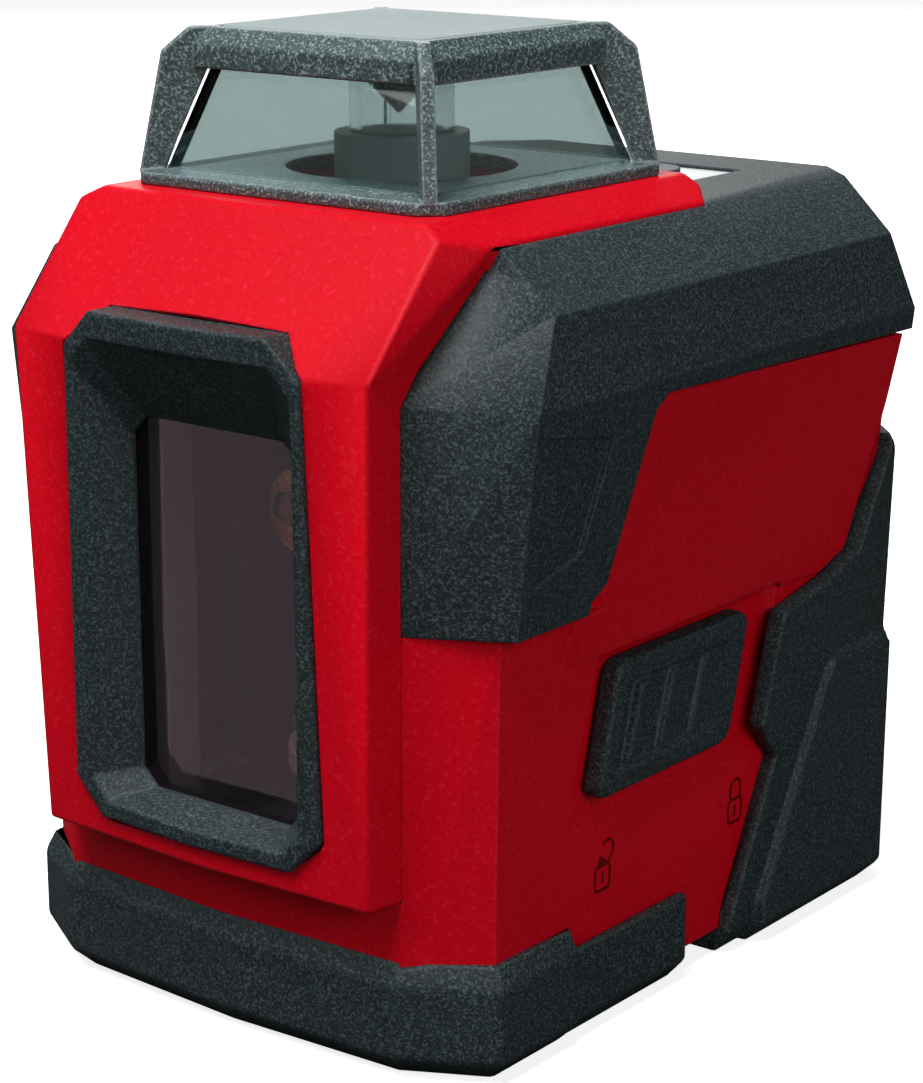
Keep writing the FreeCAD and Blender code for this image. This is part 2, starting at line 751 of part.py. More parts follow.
def pane():
    """One slanting head window, at the front, with mitred ends."""
    thick = size("glass_thick")

    def row(half, z):
        end = half - 0.02
        return [Vector(-end, -half, z), Vector(end, -half, z),
                Vector(end - thick, -half + thick, z), Vector(-end + thick, -half + thick, z)]
    return loft([row(glass_low, glass_foot), row(glass_high, glass_top)])


for turn, side in ((0, "front"), (90, "right"), (180, "rear"), (270, "left")):
    turned = Placement(Vector(0, centre, 0), Rotation(Vector(0, 0, 1), turn))
    label(feature(f"head_{side}_pane_body", pane(), turned), f"head_{side}_pane")

# ---------------------------------------------------------------- optics of the level line
label(cut("optic_holder_body", fuse("holder_blank", [
    cylinder("holder_foot", 0, "head_centre", "cage_low - 1.9", "barrel_radius + 1.0", 7.1)]), [
    cylinder("holder_bore", 0, "head_centre", "cage_low - 4", 4.2, 12)]), "optic_holder")
label(cut("optic_tube_body", cylinder("tube_outer", 0, "head_centre", "cage_low + 5.2", 5.5,
                                      "cap_low - cage_low - 5.6"), [
    cylinder("tube_inner", 0, "head_centre", "cage_low + 5.0", 4.4, "cap_low - cage_low")]), "optic_tube")
label(fuse("cone_mirror_body", [
    cone("mirror_tip", 0, "head_centre", "cap_low - 5.4", 0.15, 3.9, 3.8),
    cylinder("mirror_stem", 0, "head_centre", "cap_low - 1.6", 4.4, 1.2)]), "cone_mirror")

# ---------------------------------------------------------------- gimbal and pendulum
gz = "gimbal_height"
gy = "head_centre"
hub = fuse("hub_blank", [
    cylinder("hub_drum", 0, gy, "gimbal_height - 6", "hub_radius", 12),
    box("stem_plate", -7, "head_centre + barrel_radius + 0.6", "weight_high", 14, 4,
        "gimbal_height - weight_high"),
    box("stem_shelf", -7, "head_centre", "gimbal_height - 8", 14, "barrel_radius + 2.0", 2.5),
    box("stem_foot", -7, "head_centre - 6", "weight_high", 14, "barrel_radius + 8.6", 2.0),
])
pin_holes = [cylinder("hub_pin_bore", 0, "head_centre - 12", gz, "pin_radius + pin_clearance / 2", 24, "y")]
label(cut("pendulum_frame_body", hub, pin_holes + [
    cylinder("hub_bore", 0, gy, "gimbal_height - 20", "barrel_radius", 40),
    cylinder("front_barrel_seat", 0, "head_centre - 4", "front_laser_height", 3.0, 20, "y"),
]), "pendulum_frame")
label(cut("level_laser_body", fuse("level_blank", [
    cylinder("level_barrel", 0, gy, "gimbal_height - 15.5", "barrel_radius",
             "cage_low - gimbal_height + 13.6")]), [
    cylinder("level_bore", 0, gy, "gimbal_height - 11", 2.6, 40),
    cylinder("level_wire_bore", 0, gy, "gimbal_height - 16", 1.2, 8)]), "level_laser")
label(cylinder("collimator_body", 0, gy, "gimbal_height + 6", 2.6, 3.2), "collimator_lens")

label(group("pendulum_pins_set", [
    cylinder("pendulum_pin_front", 0, "head_centre - gimbal_ring_outer + 0.2", gz, "pin_radius",
             "gimbal_ring_outer - barrel_radius - 0.4", "y"),
    cylinder("pendulum_pin_rear", 0, "head_centre + barrel_radius + 0.2", gz, "pin_radius",
             "gimbal_ring_outer - barrel_radius - 0.4", "y"),
]), "pendulum_pins")

ring_blank = cylinder("ring_outer", 0, gy, "gimbal_height - gimbal_ring_height / 2",
                      "gimbal_ring_outer", "gimbal_ring_height")
label(cut("gimbal_ring_body", ring_blank, [
    cylinder("ring_inner", 0, gy, "gimbal_height - gimbal_ring_height", "gimbal_ring_inner",
             "gimbal_ring_height * 2"),
    cylinder("ring_bearing_bore", 0, "head_centre - 20", gz, "bearing_outer", 40, "y"),
    cylinder("ring_pin_bore", -20, gy, gz, "pin_radius + pin_clearance / 2", 40, "x"),
]), "gimbal_ring")
label(group("gimbal_pins_set", [
    cylinder("gimbal_pin_left", "-gimbal_ring_outer - 4.6", gy, gz, "pin_radius",
             "gimbal_ring_outer - gimbal_ring_inner + 4.8", "x"),
    cylinder("gimbal_pin_right", "gimbal_ring_inner - 0.2", gy, gz, "pin_radius",
             "gimbal_ring_outer - gimbal_ring_inner + 4.8", "x"),
]), "gimbal_pins")


def bearing(name, x, y, z, axis):
    bore = "pin_radius + pin_clearance"
    body = cylinder(name + "_race", x, y, z, "bearing_outer - pin_clearance", "bearing_width", axis)
    step = {"x": (1, 0), "y": (0, 1)}[axis]
    hole = cylinder(name + "_bore", f"{x} - {step[0]}", f"{y} - {step[1]}", z, bore,
                    "bearing_width + 2", axis)
    return cut(name, body, [hole])


label(group("pendulum_bearings_set", [
    bearing("pendulum_bearing_front", "0", "head_centre - gimbal_ring_outer + 0.5", gz, "y"),
    bearing("pendulum_bearing_rear", "0", "head_centre + gimbal_ring_outer - bearing_width - 0.5", gz, "y"),
]), "pendulum_bearings")
label(group("gimbal_bearings_set", [
    bearing("gimbal_bearing_left", "-gimbal_ring_outer - 4.4", "head_centre", gz, "x"),
    bearing("gimbal_bearing_right", "gimbal_ring_outer + 4.4 - bearing_width", "head_centre", gz, "x"),
]), "gimbal_bearings")

fz = "front_laser_height"
front_reach = "head_centre + barrel_radius + 0.6"
label(cut("plumb_laser_body", fuse("plumb_blank", [
    cylinder("plumb_barrel", 0, "head_centre - 17", fz, 4.9, "17 + barrel_radius + 0.6", "y"),
    cylinder("plumb_flange", 0, "head_centre - 10", fz, 5.9, 2.2, "y"),
    cylinder("plumb_spigot", 0, front_reach, fz, 3.0, 3.4, "y"),
]), [
    cylinder("plumb_bore", 0, "head_centre - 18", fz, 2.4, 18, "y"),
    box("lens_groove", -3.6, "head_centre - 18", "front_laser_height - 1.9", 7.2, 4.2, 3.8),
]), "plumb_laser")
label(cylinder("line_lens_body", -3.5, "head_centre - 15.9", fz, 1.85, 7.0, "x"), "line_lens")
label(fuse("weight_blank", [
    cylinder("weight_drum", 0, gy, "weight_low", "weight_radius", "weight_high - weight_low")]),
    "pendulum_weight")
label(group("trim_screws_set", [
    cylinder("trim_screw_front", 0, "head_centre - weight_radius - 1.6", "weight_low + 6", 1.3, 1.6, "y"),
    cylinder("trim_screw_side", "weight_radius", "head_centre", "weight_low + 6", 1.3, 1.6, "x"),
]), "trim_screws")
label(cylinder("damping_plate_body", 0, gy, "weight_low - 1.6", "weight_radius + 1.2", 1.6), "damping_plate")
label(group("damping_magnets_set", [
    cylinder(f"magnet_{count}", 3.6 * sx, f"head_centre + {3.6 * sy}", "weight_low - 7.6 - damper_gap",
             3.3, 6.0)
    for count, (sx, sy) in enumerate(((1, 1), (-1, 1), (-1, -1), (1, -1)))]), "damping_magnets")

# ---------------------------------------------------------------- chassis
floor_low, floor_thick = 11.4, 3.0
post_inner = size("gimbal_ring_outer") + 1.4
chassis_parts = [
    box("chassis_floor", -22.0, -35, floor_low, 44, 43, floor_thick),
    cylinder("magnet_pedestal", 0, gy, floor_low, 8.2, f"weight_low - 7.6 - damper_gap - {floor_low}"),
    box("front_bridge", -16.2, -35, 72.0, 32.4, 3.6, 3.2),
]
for sx, low in ((1, post_inner), (-1, -post_inner - 3.6)):
    side = "right" if sx > 0 else "left"
    chassis_parts += [
        box(f"bearing_post_{side}", low, -15.5, floor_low, 3.6, 12, "gimbal_height + 4 - 11.4"),
        box(f"front_post_{side}", 12.8 if sx > 0 else -16.2, -35, floor_low, 3.4, 5, 62.0),
        box(f"side_rib_{side}", low if sx > 0 else low + 0.8, -35, 13.0, 2.8, 22, 7.0),
        cylinder(f"front_boss_{side}", sx * 17.4, -35, 64.0, 2.6, 5, "y"),
        box(f"boss_web_{side}", 14.0 if sx > 0 else -17.4, -35, 62.0, 3.4, 5, 4.0),
        box(f"top_tie_{side}", low, -32, 72.0, 3.6, 18, 3.2),
        box(f"top_link_{side}", 12.8 if sx > 0 else -22.4, -35, 72.0, 9.6, 3.6, 3.2),
    ]
for count, (x, y) in enumerate(foot_places):
    chassis_parts.append(cylinder(f"chassis_foot_{count}", x, y, base_top, 4.0, f"11.4 - {base_top}"))
chassis_cuts = [
    cylinder("chassis_bearing_bore", -30, gy, gz, "bearing_outer", 60, "x"),
    cylinder("chassis_insert_clear", 0, mount_y, 0, 9.0, 13.0),
]
for count, (x, y) in enumerate(foot_places):
    chassis_cuts.append(cylinder(f"chassis_foot_hole_{count}", x, y, 0, 1.45, 10.9))
for sx in (-1, 1):
    chassis_cuts.append(cylinder(f"boss_hole_{sx + 1}", sx * 17.4, -36, 64.0, 1.1, 4, "y"))
label(cut("chassis_body", fuse("chassis_blank", chassis_parts), chassis_cuts), "chassis")

# ---------------------------------------------------------------- travel lock
play = size("slider_play")
slide_low, slide_high = size("slider_low"), size("slider_high")
slide_front, slide_length = size("slider_front"), size("slider_length")
slide_lean = size("slider_lean")
neck_low = slot_low + play
lock_mid = (slide_low + slide_high) / 2


def slider_outline(x, inset):
    """The slider's leaning plate, its corners cut."""
    rear = slide_front + slide_length - slide_lean
    return [
        Vector(x, slide_front + inset, slide_low + 2.0 + inset),
        Vector(x, slide_front + 2.0 + inset, slide_low + inset),
        Vector(x, rear - 1.4 - inset, slide_low + inset),
        Vector(x, rear - inset, slide_low + 1.6 + inset),
        Vector(x, rear + slide_lean - inset, slide_high - 1.6 - inset),
        Vector(x, rear + slide_lean - 1.6 - inset, slide_high - inset),
        Vector(x, slide_front + slide_lean + 1.6 + inset, slide_high - inset),
        Vector(x, slide_front + slide_lean - 0.2 + inset, slide_high - 2.0 - inset),
    ]


plate_in, plate_out = floor_x + play, size("lower_half_width") + 0.3
plate = loft([slider_outline(plate_in, 0.0), slider_outline(plate_out - 0.8, 0.0),
              slider_outline(plate_out, 0.7)])
dish = loft([slider_outline(plate_out - 0.9, 2.7), slider_outline(plate_out + 0.1, 1.9)])
plate = plate.cut(dish)
rib_low, rib_high = slide_low + 3.6, slide_high - 3.6
for place in (0.30, 0.50, 0.70):
    rib_y = slide_front + slide_lean / 2 + place * (slide_length - slide_lean)
    rib = [
        Vector(plate_out - 1.0, rib_y - 1.7, rib_low),
        Vector(plate_out - 1.0, rib_y + 0.5, rib_low),
        Vector(plate_out - 1.0, rib_y + 1.5, rib_high),
        Vector(plate_out - 1.0, rib_y - 0.7, rib_high),
    ]
    plate = plate.fuse(prism(rib, Vector(1.3, 0, 0)))
neck = Part.makeBox(plate_in - 25.6, 14.4 - size("lock_travel") - 2 * play, 4.4 - 2 * play,
                    Vector(25.6, -9.8 + play, neck_low))
plate = plate.fuse(neck).removeSplitter()
label(feature("lock_slider_body", plate), "lock_slider")

pin_y, pin_z, pin_r = 0.6, 23.6, 1.0
shoe_lift = 1.2
slot_margin = pin_r + 0.3
cam = box("cam_plate", 23.4, -9.2, 20.6, 2.2, 7.6, 17.4)
cam_toe = box("cam_toe", 23.4, -9.2, 20.6, 2.2, 12.9, 7.4)
slot = feature("cam_slot", prism([
    Vector(20, pin_y + slot_margin, pin_z - slot_margin),
    Vector(20, pin_y + slot_margin, pin_z + slot_margin),
    Vector(20, pin_y - size("lock_travel") - slot_margin, pin_z + shoe_lift + slot_margin),
    Vector(20, pin_y - size("lock_travel") - slot_margin, pin_z + shoe_lift - slot_margin),
], Vector(8, 0, 0)))
label(cut("lock_cam_body", fuse("cam_blank", [cam, cam_toe]), [slot]), "lock_cam")

shoe_top = size("weight_low") - 1.6 - 2.6
shoe = fuse("shoe_blank", [
    cylinder("shoe_ring", 0, gy, shoe_top - 2.4, 13.2, 2.4),
    box("shoe_arm", 5.0, pin_y - 1.6, shoe_top - 2.4, 15.0, 3.2, 2.4),
    cylinder("shoe_pin", 16.0, pin_y, pin_z, pin_r, 9.2, "x"),
])
label(cut("lock_shoe_body", shoe, [cylinder("shoe_bore", 0, gy, 10, 8.7, 30)]), "lock_shoe")

switch_y = -9.8 + 14.4 + 6.0
label(cut("power_switch_body", fuse("switch_blank", [
    box("switch_case", 22.6, switch_y + 2.0, 30.0, 4.0, 6.6, 9.0),
]), [box("switch_mouth", 23.2, switch_y, lock_mid - 1.3, 2.8, 5.0, 2.6)]), "power_switch")
label(box("switch_plunger_body", 23.5, switch_y + 0.6, lock_mid - 1.0, 2.2, 3.0, 2.0), "switch_plunger")

# ---------------------------------------------------------------- electronics and battery
cell_step = 2 * size("cell_radius") + 0.7
tray_wall = 1.8
tray_inner = cell_step + size("cell_radius") + 1.2
tray_half = tray_inner + tray_wall
tray_rear = size("body_rear") - 4.3
tray_front = tray_rear - 2 * size("cell_radius") - tray_wall - 1.0
cell_y = tray_rear - size("cell_radius") - 0.8
cell_low = 14.4
cell_high = cell_low + size("cell_length")
tray = cut("battery_tray_body", box("tray_outer", -tray_half, tray_front, base_top, 2 * tray_half,
                                    tray_rear - tray_front, f"{cell_high + 3.6 - base_top}"), [
    box("tray_inner", -tray_inner, tray_front + tray_wall, cell_low - 2.4, 2 * tray_inner, 40,
        f"{cell_high - cell_low + 4.4}"),
    box("tray_lighten", -tray_inner, tray_front + tray_wall, base_top + 1.6, 2 * tray_inner,
        12.0, 4.0)])
label(tray, "battery_tray")
cells, springs, plates = [], [], []
for count in (-1, 0, 1):
    number = count + 1
    x = count * cell_step
    can = cylinder(f"cell_can_{number}", x, cell_y, cell_low, "cell_radius", "cell_length - 1.4")
    nub = cylinder(f"cell_nub_{number}", x, cell_y, cell_low, 2.7, "cell_length")
    cells.append(fuse(f"cell_{number}", [can, nub]))
    springs.append(cone(f"cell_spring_{number}", x, cell_y, cell_low - 2.35, 4.6, 2.6, 2.3))
    plates.append(box(f"cell_contact_{number}", x - 4.5, cell_y - 4.5, cell_high + 0.05, 9, 9, 0.8))
label(group("battery_cells_set", cells), "battery_cells")
label(group("battery_springs_set", springs), "battery_springs")
label(group("battery_contacts_set", plates), "battery_contacts")

door_face = size("body_rear") - 0.1
play_door = size("door_play")
door_slab = fuse("door_slab", [
    box("door_plate", "-door_half + door_play", door_face - size("door_thick"), hinge_z,
        "2 * door_half - 2 * door_play", "door_thick", "door_high - door_low - 2.0 - door_play"),
    cylinder("door_knuckle", "-door_half + 5.2", hinge_y, hinge_z, 1.55, "2 * door_half - 10.4", "x"),
    box("door_rib_left", -14.0, door_face - size("door_thick") - 0.5, hinge_z + 8.0, 1.4, 1.0, 34),
    box("door_thumb_tab", -6.0, door_face - 0.5, "door_high - 8.0", 12.0, 1.1, 4.6),
    box("door_rib_right", 12.6, door_face - size("door_thick") - 0.5, hinge_z + 8.0, 1.4, 1.0, 34),
])
grip_cuts = [box(f"door_groove_{count}", -11.0, door_face - 0.6, 30.0 + 4.0 * count, 22.0, 2.0, 1.4)
             for count in range(5)]
door = cut("battery_door_body", door_slab, grip_cuts + [
    box("door_corner_left", "-door_half - 1", door_face - 6, 10.0, 5.9, 8.0, f"{hinge_z + 2.0} - 10"),
    box("door_corner_right", "door_half - 4.9", door_face - 6, 10.0, 5.9, 8.0, f"{hinge_z + 2.0} - 10"),
    cylinder("door_pin_bore", -30, hinge_y, hinge_z, 0.83, 60, "x")])
label(door, "battery_door")
label(cylinder("door_pin_body", "-door_half + 1.2", hinge_y, hinge_z, 0.8, "2 * door_half - 2.4", "x"),
      "door_pin")
board_y = 19.4
label(cut("main_board_body", box("board_blank", -26, board_y, 24, 52, 1.6, 50), [
    cylinder(f"board_hole_{count}", sx * 22.0, board_y - 2, z, 1.3, 6, "y")
    for count, (sx, z) in enumerate(((-1, 27.0), (1, 27.0), (-1, 64.0), (1, 64.0)))]), "main_board")
label(group("board_components_set", [
    box("controller_chip", -5, board_y - 1.2, 44, 10, 1.2, 10),
    box("driver_chip", 10, board_y - 1.0, 48, 6, 1.0, 5),
    box("power_coil", -18, board_y - 3.6, 50, 7, 3.6, 7),
    cylinder("buffer_capacitor", 14, board_y - 6.0, 62, 3.0, 6.0, "y"),
]), "board_components")
label(group("board_standoffs_set", [
    cut(f"board_standoff_{count}", cylinder(f"standoff_{count}", sx * 22.0, board_y + 1.6, z, 2.3,
                                            tray_front - board_y - 1.6, "y"), [
        cylinder(f"standoff_bore_{count}", sx * 22.0, board_y, z, 1.1, 6, "y")])
    for count, (sx, z) in enumerate(((-1, 27.0), (1, 27.0), (-1, 64.0), (1, 64.0)))]), "board_standoffs")

# ---------------------------------------------------------------- keypad
key_top = size("grip_top")
key_half, key_front, key_rear = size("keypad_half"), size("keypad_front"), size("keypad_rear")
key_play = 0.15
button_places = [(-6.2, "line_button"), (6.2, "pulse_button")]
button_y = (key_front + key_rear) / 2 + 2.4
button_radius = 4.0
overlay_holes = [cylinder(f"overlay_hole_{count}", x, button_y, key_top - 3, button_radius + 0.3, 6)
                 for count, (x, _) in enumerate(button_places)]
overlay_holes.append(cylinder("overlay_lamp", 0, key_front + 4.0, key_top - 3, 1.1, 6))
overlay = box("overlay_plate", -key_half + key_play, key_front + key_play, key_top - 1.2,
              2 * (key_half - key_play), key_rear - key_front - 2 * key_play, 0.8)
label(cut("keypad_overlay_body", overlay, overlay_holes), "keypad_overlay")
frame_outer = box("frame_outer", -key_half + key_play, key_front + key_play, key_top - 4.8,
                  2 * (key_half - key_play), key_rear - key_front - 2 * key_play, 3.6)
frame_inner = box("frame_inner", -key_half + 1.6, key_front + 1.6, key_top - 6.0,
                  2 * (key_half - 1.6), key_rear - key_front - 3.2, 8)
label(cut("keypad_frame_body", frame_outer, [frame_inner]), "keypad_frame")
label(box("keypad_board_body", -key_half + key_play, key_front + key_play, key_top - 6.0,
          2 * (key_half - key_play), key_rear - key_front - 2 * key_play, 1.2), "keypad_board")
label(cylinder("status_lamp_body", 0, key_front + 4.0, key_top - 4.8, 1.0, 4.5), "status_lamp")
switch_low = key_top - 4.8
for count, (x, button) in enumerate(button_places):
    label(cylinder(f"{button}_body", x, button_y, switch_low + 1.6, button_radius, 3.6), button)
label(group("dome_switches_set", [
    cylinder(f"dome_{count}", x, button_y, switch_low, 2.6, 1.0)
    for count, (x, _) in enumerate(button_places)]), "dome_switches")

# ---------------------------------------------------------------- check and export
doc.recompute()
for item in doc.Objects:
    if {"Invalid", "Error"} & set(item.State):
        raise RuntimeError(f"{item.Label} failed: {item.State}")
for item in nodes:
    if item.Shape.isNull() or not item.Shape.isValid() or not item.Shape.Solids:
        raise RuntimeError(f"{item.Label} has no valid solid")

os.makedirs("parts", exist_ok=True)
for item in nodes:
    item.Shape.exportStep(f"parts/{item.Label}.step")
    print(item.Label, len(item.Shape.Solids), round(item.Shape.Volume))
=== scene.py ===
"""Finishes, fine detail and studio for a self-levelling cross line laser.

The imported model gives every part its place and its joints. Each class below
stands for one sub-assembly: it holds the sizes it needs, rounds or rebuilds
the parts that are seen, and gives each one its finish.
"""
import logging
import math
from dataclasses import dataclass, field
from enum import Enum
from typing import Iterable, Sequence, Union

import bmesh
import bpy
from mathutils import Matrix, Vector
from mathutils.bvhtree import BVHTree


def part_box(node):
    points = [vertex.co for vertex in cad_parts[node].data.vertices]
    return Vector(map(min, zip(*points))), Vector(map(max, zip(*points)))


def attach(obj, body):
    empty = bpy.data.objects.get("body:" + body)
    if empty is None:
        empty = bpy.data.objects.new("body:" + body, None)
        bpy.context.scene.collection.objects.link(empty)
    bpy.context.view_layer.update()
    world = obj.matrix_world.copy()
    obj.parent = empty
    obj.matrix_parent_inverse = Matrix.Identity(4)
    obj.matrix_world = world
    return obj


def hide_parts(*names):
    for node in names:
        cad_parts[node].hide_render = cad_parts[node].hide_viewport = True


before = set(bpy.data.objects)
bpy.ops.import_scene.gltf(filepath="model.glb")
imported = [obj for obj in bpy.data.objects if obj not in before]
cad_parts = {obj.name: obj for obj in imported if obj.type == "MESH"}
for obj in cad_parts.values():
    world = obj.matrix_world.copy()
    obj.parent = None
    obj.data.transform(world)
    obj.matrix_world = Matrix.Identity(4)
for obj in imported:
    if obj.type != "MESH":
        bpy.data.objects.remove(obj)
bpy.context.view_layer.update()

MM = 0.001
LOG = logging.getLogger("laser_level")

WELD = 0.002 * MM
SHORTEST_EDGE = 0.001 * MM
FLAT_WITHIN = math.radians(0.4)
SHARP_ABOVE = math.radians(33.0)
FACE_WEIGHT = 60
SMALLEST_FACE = 1e-9
FACES_AWAY = -0.2
LEAST_SINE = 0.05
ROUND_PROFILE = 0.5
TINY = 1e-12

Colour = tuple[float, float, float]
Number = Union[float, "Shade"]


class Body(Enum):
    """The bodies that new pieces ride on."""

    HOUSING = "housing"
    LOCK = "lock"
    DOOR = "door"


class Pattern(Enum):
    """The grain that a machined surface carries."""

    TURNED = "turned"
    BRUSHED = "brushed"
    SMOOTH = "smooth"


# ---------------------------------------------------------------- shader maths


class Shade:
    """A number in a material: one node socket that answers to arithmetic."""

    def __init__(self, graph: "Graph", socket: bpy.types.NodeSocket) -> None:
        """Keep the socket and the graph that owns it.

        Args:
            graph: The material's graph.
            socket: The output socket that gives the number.
        """
        self.graph = graph
        self.socket = socket

    def _maths(self, operation: str, first: Number, second: Number) -> "Shade":
        """Add one Math node.

        Args:
            operation: The Math node's operation.
            first: The upper value.
            second: The lower value.

        Returns:
            The node's result.
        """
        made = self.graph.node(
            "ShaderNodeMath", {"operation": operation}, {0: first, 1: second}
        )
        return made("Value")

    def __add__(self, other: Number) -> "Shade":
        """Give self + other."""
        return self._maths("ADD", self, other)

    def __radd__(self, other: Number) -> "Shade":
        """Give other + self."""
        return self._maths("ADD", other, self)

    def __sub__(self, other: Number) -> "Shade":
        """Give self - other."""
        return self._maths("SUBTRACT", self, other)

    def __rsub__(self, other: Number) -> "Shade":
        """Give other - self."""
        return self._maths("SUBTRACT", other, self)

    def __mul__(self, other: Number) -> "Shade":
        """Give self * other."""
        return self._maths("MULTIPLY", self, other)

    def __rmul__(self, other: Number) -> "Shade":
        """Give other * self."""
        return self._maths("MULTIPLY", other, self)

    def above(self, edge: float, soft: float) -> "Shade":
        """Give a mask that rises from 0 to 1 round an edge value.

        Args:
            edge: The value at the middle of the rise.
            soft: Half the width of the rise.

        Returns:
            The mask, from 0 to 1.
        """
        made = self.graph.node(
            "ShaderNodeMapRange",
            {"interpolation_type": "SMOOTHSTEP", "clamp": True},
            {"Value": self, "From Min": edge - soft, "From Max": edge + soft},
        )
        return made("Result")


Feed = Union[float, int, Sequence[float], Shade, bpy.types.NodeSocket]


class Made:
    """A node just added, called with a socket's name for one of its outputs."""

    def __init__(self, graph: "Graph", node: bpy.types.Node) -> None:
        """Keep the node and its graph."""
        self.graph = graph
        self.node = node

    def __call__(self, output: Union[str, int]) -> Shade:
        """Give the named output as a Shade."""
        return Shade(self.graph, self.node.outputs[output])


class Graph:
    """One material's nodes."""

    def __init__(self, name: str) -> None:
        """Start an empty material.

        Args:
            name: The material's name.
        """
        self.material = bpy.data.materials.new(name)
        self.material.use_nodes = True
        self.tree = self.material.node_tree
        self.tree.nodes.clear()
        self.column = 0

    def node(
        self,
        kind: str,
        settings: dict[str, object] | None = None,
        feeds: dict[Union[str, int], Feed] | None = None,
    ) -> Made:
        """Add one node.

        Args:
            kind: The node's type name.
            settings: Its own settings, with a ramp's stops under "stops".
            feeds: A value or a link for each input, by name or number.

        Returns:
            The node, ready to give its outputs.
        """
        node = self.tree.nodes.new(kind)
        self.column += 1
        node.location = (self.column * 180, -(self.column % 5) * 160)
        for key, value in (settings or {}).items():
            if key == "stops":
                self._stops(node.color_ramp, value)
            else:
                setattr(node, key, value)
        for key, value in (feeds or {}).items():
            if isinstance(value, Shade):
                self.tree.links.new(value.socket, node.inputs[key])
            elif isinstance(value, bpy.types.NodeSocket):
                self.tree.links.new(value, node.inputs[key])
            else:
                node.inputs[key].default_value = value
        return Made(self, node)

    @staticmethod
    def _stops(ramp: bpy.types.ColorRamp, stops: Sequence[tuple[float, Colour]]) -> None:
        """Set a ramp's stops.

        Args:
            ramp: The ramp.
            stops: Each stop's place and colour.
        """
        while len(ramp.elements) < len(stops):
            ramp.elements.new(0.5)
        for element, (place, colour) in zip(ramp.elements, stops):
            element.position = place
            element.color = (*colour, 1.0)

    def place(self) -> Shade:
        """Give the piece's own coordinates, in metres."""
        return self.node("ShaderNodeTexCoord")("Object")

    def noise(self, scale: float, detail: float = 2.0, roughness: float = 0.5,
              stretch: Colour = (1.0, 1.0, 1.0)) -> Shade:
        """Give a cloudy noise.

        Args:
            scale: Clouds per metre.
            detail: How many finer layers it has.
            roughness: How strong the finer layers are.
            stretch: The scale along each axis.

        Returns:
            The noise, from 0 to 1.
        """
        mapped = self.node(
            "ShaderNodeMapping", None, {"Vector": self.place(), "Scale": stretch}
        )
        made = self.node(
            "ShaderNodeTexNoise", None,
            {"Vector": mapped("Vector"), "Scale": scale, "Detail": detail,
             "Roughness": roughness},
        )
        return made("Fac")

    def cells(self, scale: float) -> Shade:
        """Give a pattern of cells.

        Args:
            scale: Cells per metre.

        Returns:
            How far each place is from its cell's middle.
        """
        made = self.node(
            "ShaderNodeTexVoronoi", None, {"Vector": self.place(), "Scale": scale}
        )
        return made("Distance")

    def mix(self, share: Number, first: Feed, second: Feed) -> Shade:
        """Mix two colours.

        Args:
            share: How much of the second colour shows.
            first: The first colour.
            second: The second colour.

        Returns:
            The mixed colour.
        """
        made = self.node("ShaderNodeMix", {"data_type": "RGBA"}, {0: share})
        for socket, value in ((6, first), (7, second)):
            if isinstance(value, Shade):
                self.tree.links.new(value.socket, made.node.inputs[socket])
            else:
                made.node.inputs[socket].default_value = (*value, 1.0)
        return Shade(self, made.node.outputs[2])

    def bump(self, height: Shade, distance: float, strength: float = 1.0,
             under: Shade | None = None) -> Shade:
        """Turn a height into a bent normal.

        Args:
            height: The height, from 0 to 1.
            distance: What a height of 1 stands for, in metres.
            strength: How much of it shows.
            under: A bump that lies under this one.

        Returns:
            The normal.
        """
        feeds: dict[Union[str, int], Feed] = {
            "Height": height, "Distance": distance, "Strength": strength
        }
        if under is not None:
            feeds["Normal"] = under
        return self.node("ShaderNodeBump", None, feeds)("Normal")

    def soft_edge_and_highlight_mask(self, radius: float) -> tuple[Shade, Shade]:
        """Soften the edges of a moulding and find where they are, for the painted edge
        highlight.

        Args:
            radius: How far the softening reaches, in metres.

        Returns:
            The softened normal, and a mask that is 1 on an edge, where the highlight is
            painted.
        """
        soft = self.node("ShaderNodeBevel", {"samples": 6}, {"Radius": radius})("Normal")
        geometry = self.node("ShaderNodeNewGeometry")
        turn = self.node(
            "ShaderNodeVectorMath", {"operation": "DOT_PRODUCT"},
            {0: soft, 1: geometry("Normal")},
        )
        edge = 1.0 - turn("Value").above(0.965, 0.03)
        return soft, edge

    def surface(self, feeds: dict[Union[str, int], Feed]) -> Made:
        """Add the main shader."""
        return self.node("ShaderNodeBsdfPrincipled", None, feeds)

    def finish(self, shader: Made, output: Union[str, int] = "BSDF") -> bpy.types.Material:
        """Join a shader to the output.

        Args:
            shader: The node whose shader shows.
            output: Its output's name.

        Returns:
            The material.
        """
        self.node("ShaderNodeOutputMaterial", None, {"Surface": shader(output)})
        return self.material


# --------------------------------------------------------------------- finishes


@dataclass(frozen=True)
class Finish:
    """A surface finish, made once and shared by every piece that has it."""

    name: str
    colour: Colour

    def material(self) -> bpy.types.Material:
        """Give the finish's material, made on the first call."""
        label = "finish_" + self.name
        known = bpy.data.materials.get(label)
        return known if known else self.compose(Graph(label))

    def compose(self, graph: Graph) -> bpy.types.Material:
        """Build the nodes; each kind of finish has its own.

        Args:
            graph: An empty graph.

        Returns:
            The finished material.
        """
        raise NotImplementedError

    def paint(self, piece: bpy.types.Object) -> None:
        """Give a piece this finish alone.

        Args:
            piece: The piece.
        """
        piece.data.materials.clear()
        piece.data.materials.append(self.material())


